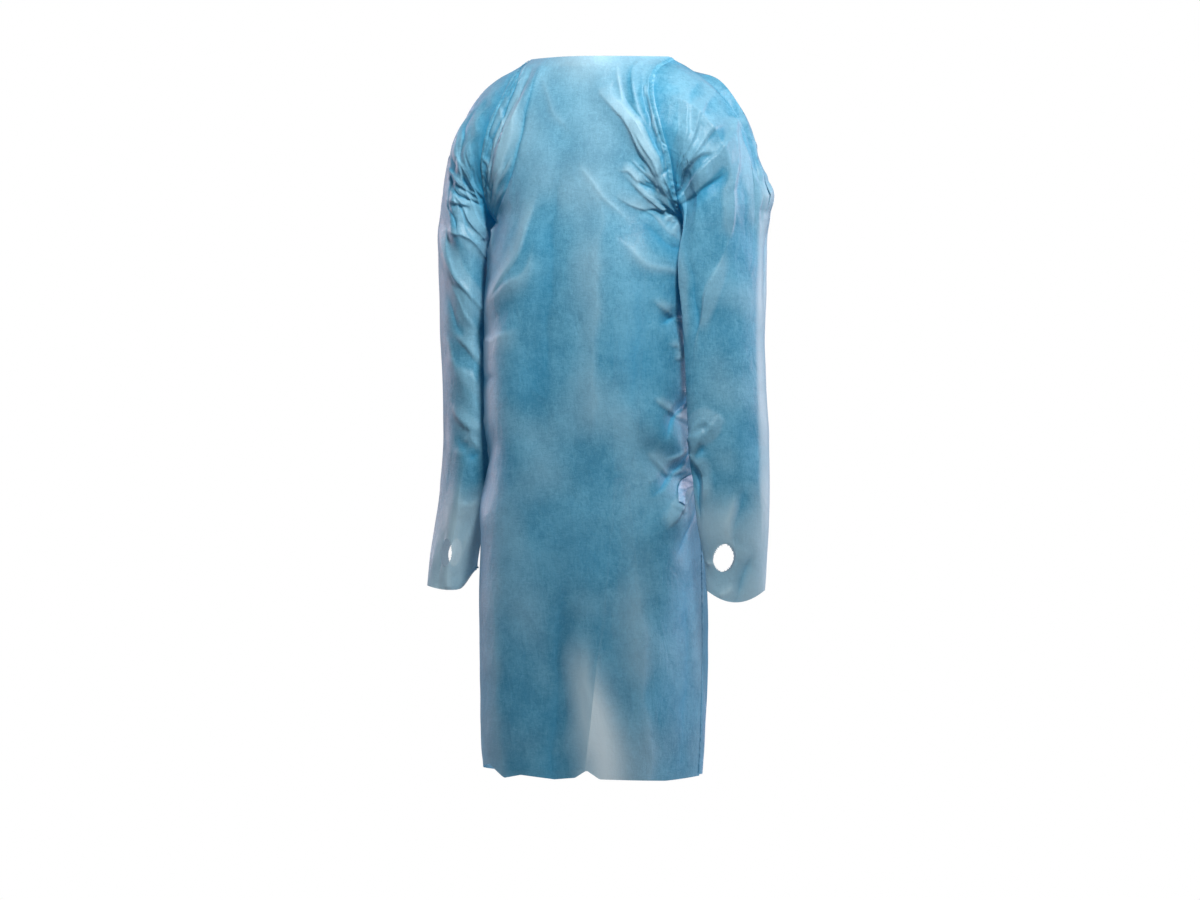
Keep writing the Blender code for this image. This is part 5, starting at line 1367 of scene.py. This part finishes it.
def makeKnot():
    u, v = np.meshgrid(np.linspace(0.0, 1.0, 72, endpoint=False), np.linspace(0.0, 1.0, 49), indexing="ij")
    around, up = u * 2 * math.pi, (v - 0.5) * math.pi
    grid = np.stack([np.cos(up) * np.cos(around), np.cos(up) * np.sin(around), np.sin(up)], axis=-1)
    x, y, z = grid[..., 0], grid[..., 1], grid[..., 2]
    strap = np.exp(-((x + 0.35 * z) / 0.42) ** 4)  # the turn of the strip that crosses over
    pleats = 0.030 * np.sin(15 * (x + 0.35 * z)) * strap + 0.026 * np.sin(13 * (z - 0.5 * x)) * (1 - strap)
    size = 0.86 + 0.16 * strap + pleats
    grid = grid * size[..., None] * np.array(tie["knotSize"]) / 2 * (1.0, 0.86, 0.92)
    grid = np.transpose(grid, (1, 0, 2)) + np.array([0.0, knotY(1), tie["knotZ"]])
    knot = surfaceObject("tieKnot", grid, tieFilm, ring=True)
    weld = knot.modifiers.new("poles", "WELD")
    weld.merge_threshold = 0.00002
    finishPiece(knot, "tie_film", "tie_knot")


makeKnot()
print("waist tie made")


# studio

studio = {
    "floorZ": -1.46, "floorRadius": 4.0,
    "azimuth": cloth["seenFrom"], "distance": 14.0, "aimZ": -0.588,
    "view": 1.8,  # the width that the frame takes in
    "world": 0.06,
    "reflected": 0.42,  # how much of the white surroundings the gloss sees
    "lamps": (  # name, azimuth, height, distance, size, watts, spread in degrees, aim height, colour
        ("keyLamp", 38.0, 1.45, 1.8, 0.45, 14.5, 60.0, 0.0, (1.0, 0.99, 0.97)),
        ("fillLamp", -25.0, 0.3, 4.0, 2.6, 5.5, 120.0, -0.20, (0.97, 0.98, 1.0)),
        ("rimLampLeft", 256.0, 0.0, 2.4, 1.4, 15.0, 110.0, -0.50, (1.0, 0.84, 0.93)),
        ("rimLampRight", 125.0, 0.0, 2.4, 1.4, 23.0, 110.0, -0.50, (1.0, 0.86, 0.94)),
    ),
}


def makeFloor():
    radius, rings, count = studio["floorRadius"], 8, 96
    turns = np.linspace(0.0, 2 * math.pi, count, endpoint=False)
    far = np.linspace(0.0, 1.0, rings + 1)[1:] * radius
    level = np.full((rings, count), studio["floorZ"])
    grid = np.stack([far[:, None] * np.cos(turns), far[:, None] * np.sin(turns), level], axis=-1)
    middle = np.zeros((1, count, 3)) + (0.0, 0.0, studio["floorZ"])
    material = bpy.data.materials.new("paleFloor")
    material.use_nodes = True
    tree = material.node_tree
    shader = tree.nodes["Principled BSDF"]
    tone = mixColours(tree, noiseNode(tree, 6.0, 5.0, 0.6), (243, 244, 246), (248, 248, 250))
    tree.links.new(tone, shader.inputs["Base Color"])
    shader.inputs["Roughness"].default_value = 0.6
    length = addNode(tree, "ShaderNodeVectorMath", operation="LENGTH")
    tree.links.new(tree.nodes.new("ShaderNodeTexCoord").outputs["Object"], length.inputs[0])
    clear = mapRange(tree, length.outputs["Value"], 1.0, 3.4, 1.0, 0.0)  # it fades out far away
    tree.links.new(clear, shader.inputs["Alpha"])
    floor = surfaceObject("paleFloor", np.concatenate([middle, grid]), material, ring=True)
    weld = floor.modifiers.new("middle", "WELD")
    weld.merge_threshold = 0.0001


def makeLamp(name, azimuth, height, distance, size, watts, spread, aim, colour):
    light = bpy.data.lights.new(name, "AREA")
    light.shape = "DISK"
    light.size = size
    light.energy = watts
    light.spread = math.radians(spread)
    light.color = colour
    lamp = bpy.data.objects.new(name, light)
    bpy.context.scene.collection.objects.link(lamp)
    angle = math.radians(azimuth)
    place = Vector((math.sin(angle) * distance, -math.cos(angle) * distance, height))
    lamp.location = place
    lamp.rotation_euler = (Vector((0.0, -0.1, aim)) - place).to_track_quat("-Z", "Y").to_euler()


def makeCamera():
    camera = bpy.data.objects.new("camera", bpy.data.cameras.new("camera"))
    bpy.context.scene.collection.objects.link(camera)
    angle = math.radians(studio["azimuth"])
    aim = Vector((0.0, 0.0, studio["aimZ"]))
    back = Vector((math.sin(angle), -math.cos(angle), 0.0))
    camera.location = aim + back * studio["distance"]
    camera.rotation_euler = (-back).to_track_quat("-Z", "Y").to_euler()
    camera.data.sensor_width = 36.0
    camera.data.lens = 36.0 * studio["distance"] / studio["view"]
    bpy.context.scene.camera = camera


def makeWorld():
    world = bpy.data.worlds.new("paleStudio")
    world.use_nodes = True
    tree = world.node_tree
    tree.nodes.clear()
    seen = addNode(tree, "ShaderNodeBackground")
    seen.inputs["Color"].default_value = (1.0, 1.0, 1.0, 1.0)
    seen.inputs["Strength"].default_value = 1.0
    soft = addNode(tree, "ShaderNodeBackground")
    soft.inputs["Color"].default_value = (0.98, 0.99, 1.0, 1.0)
    soft.inputs["Strength"].default_value = studio["world"]
    path = tree.nodes.new("ShaderNodeLightPath")
    out = tree.nodes.new("ShaderNodeOutputWorld")
    shiny = mathNode(tree, "MULTIPLY", path.outputs["Is Glossy Ray"], studio["reflected"])
    white = mathNode(tree, "MAXIMUM", path.outputs["Is Camera Ray"], shiny)
    tree.links.new(mixShaders(tree, white, soft, seen).outputs[0], out.inputs["Surface"])
    bpy.context.scene.world = world


makeFloor()
for lamp in studio["lamps"]:
    makeLamp(*lamp)
makeCamera()
makeWorld()
bpy.context.scene.view_settings.view_transform = "Standard"
print("studio made")
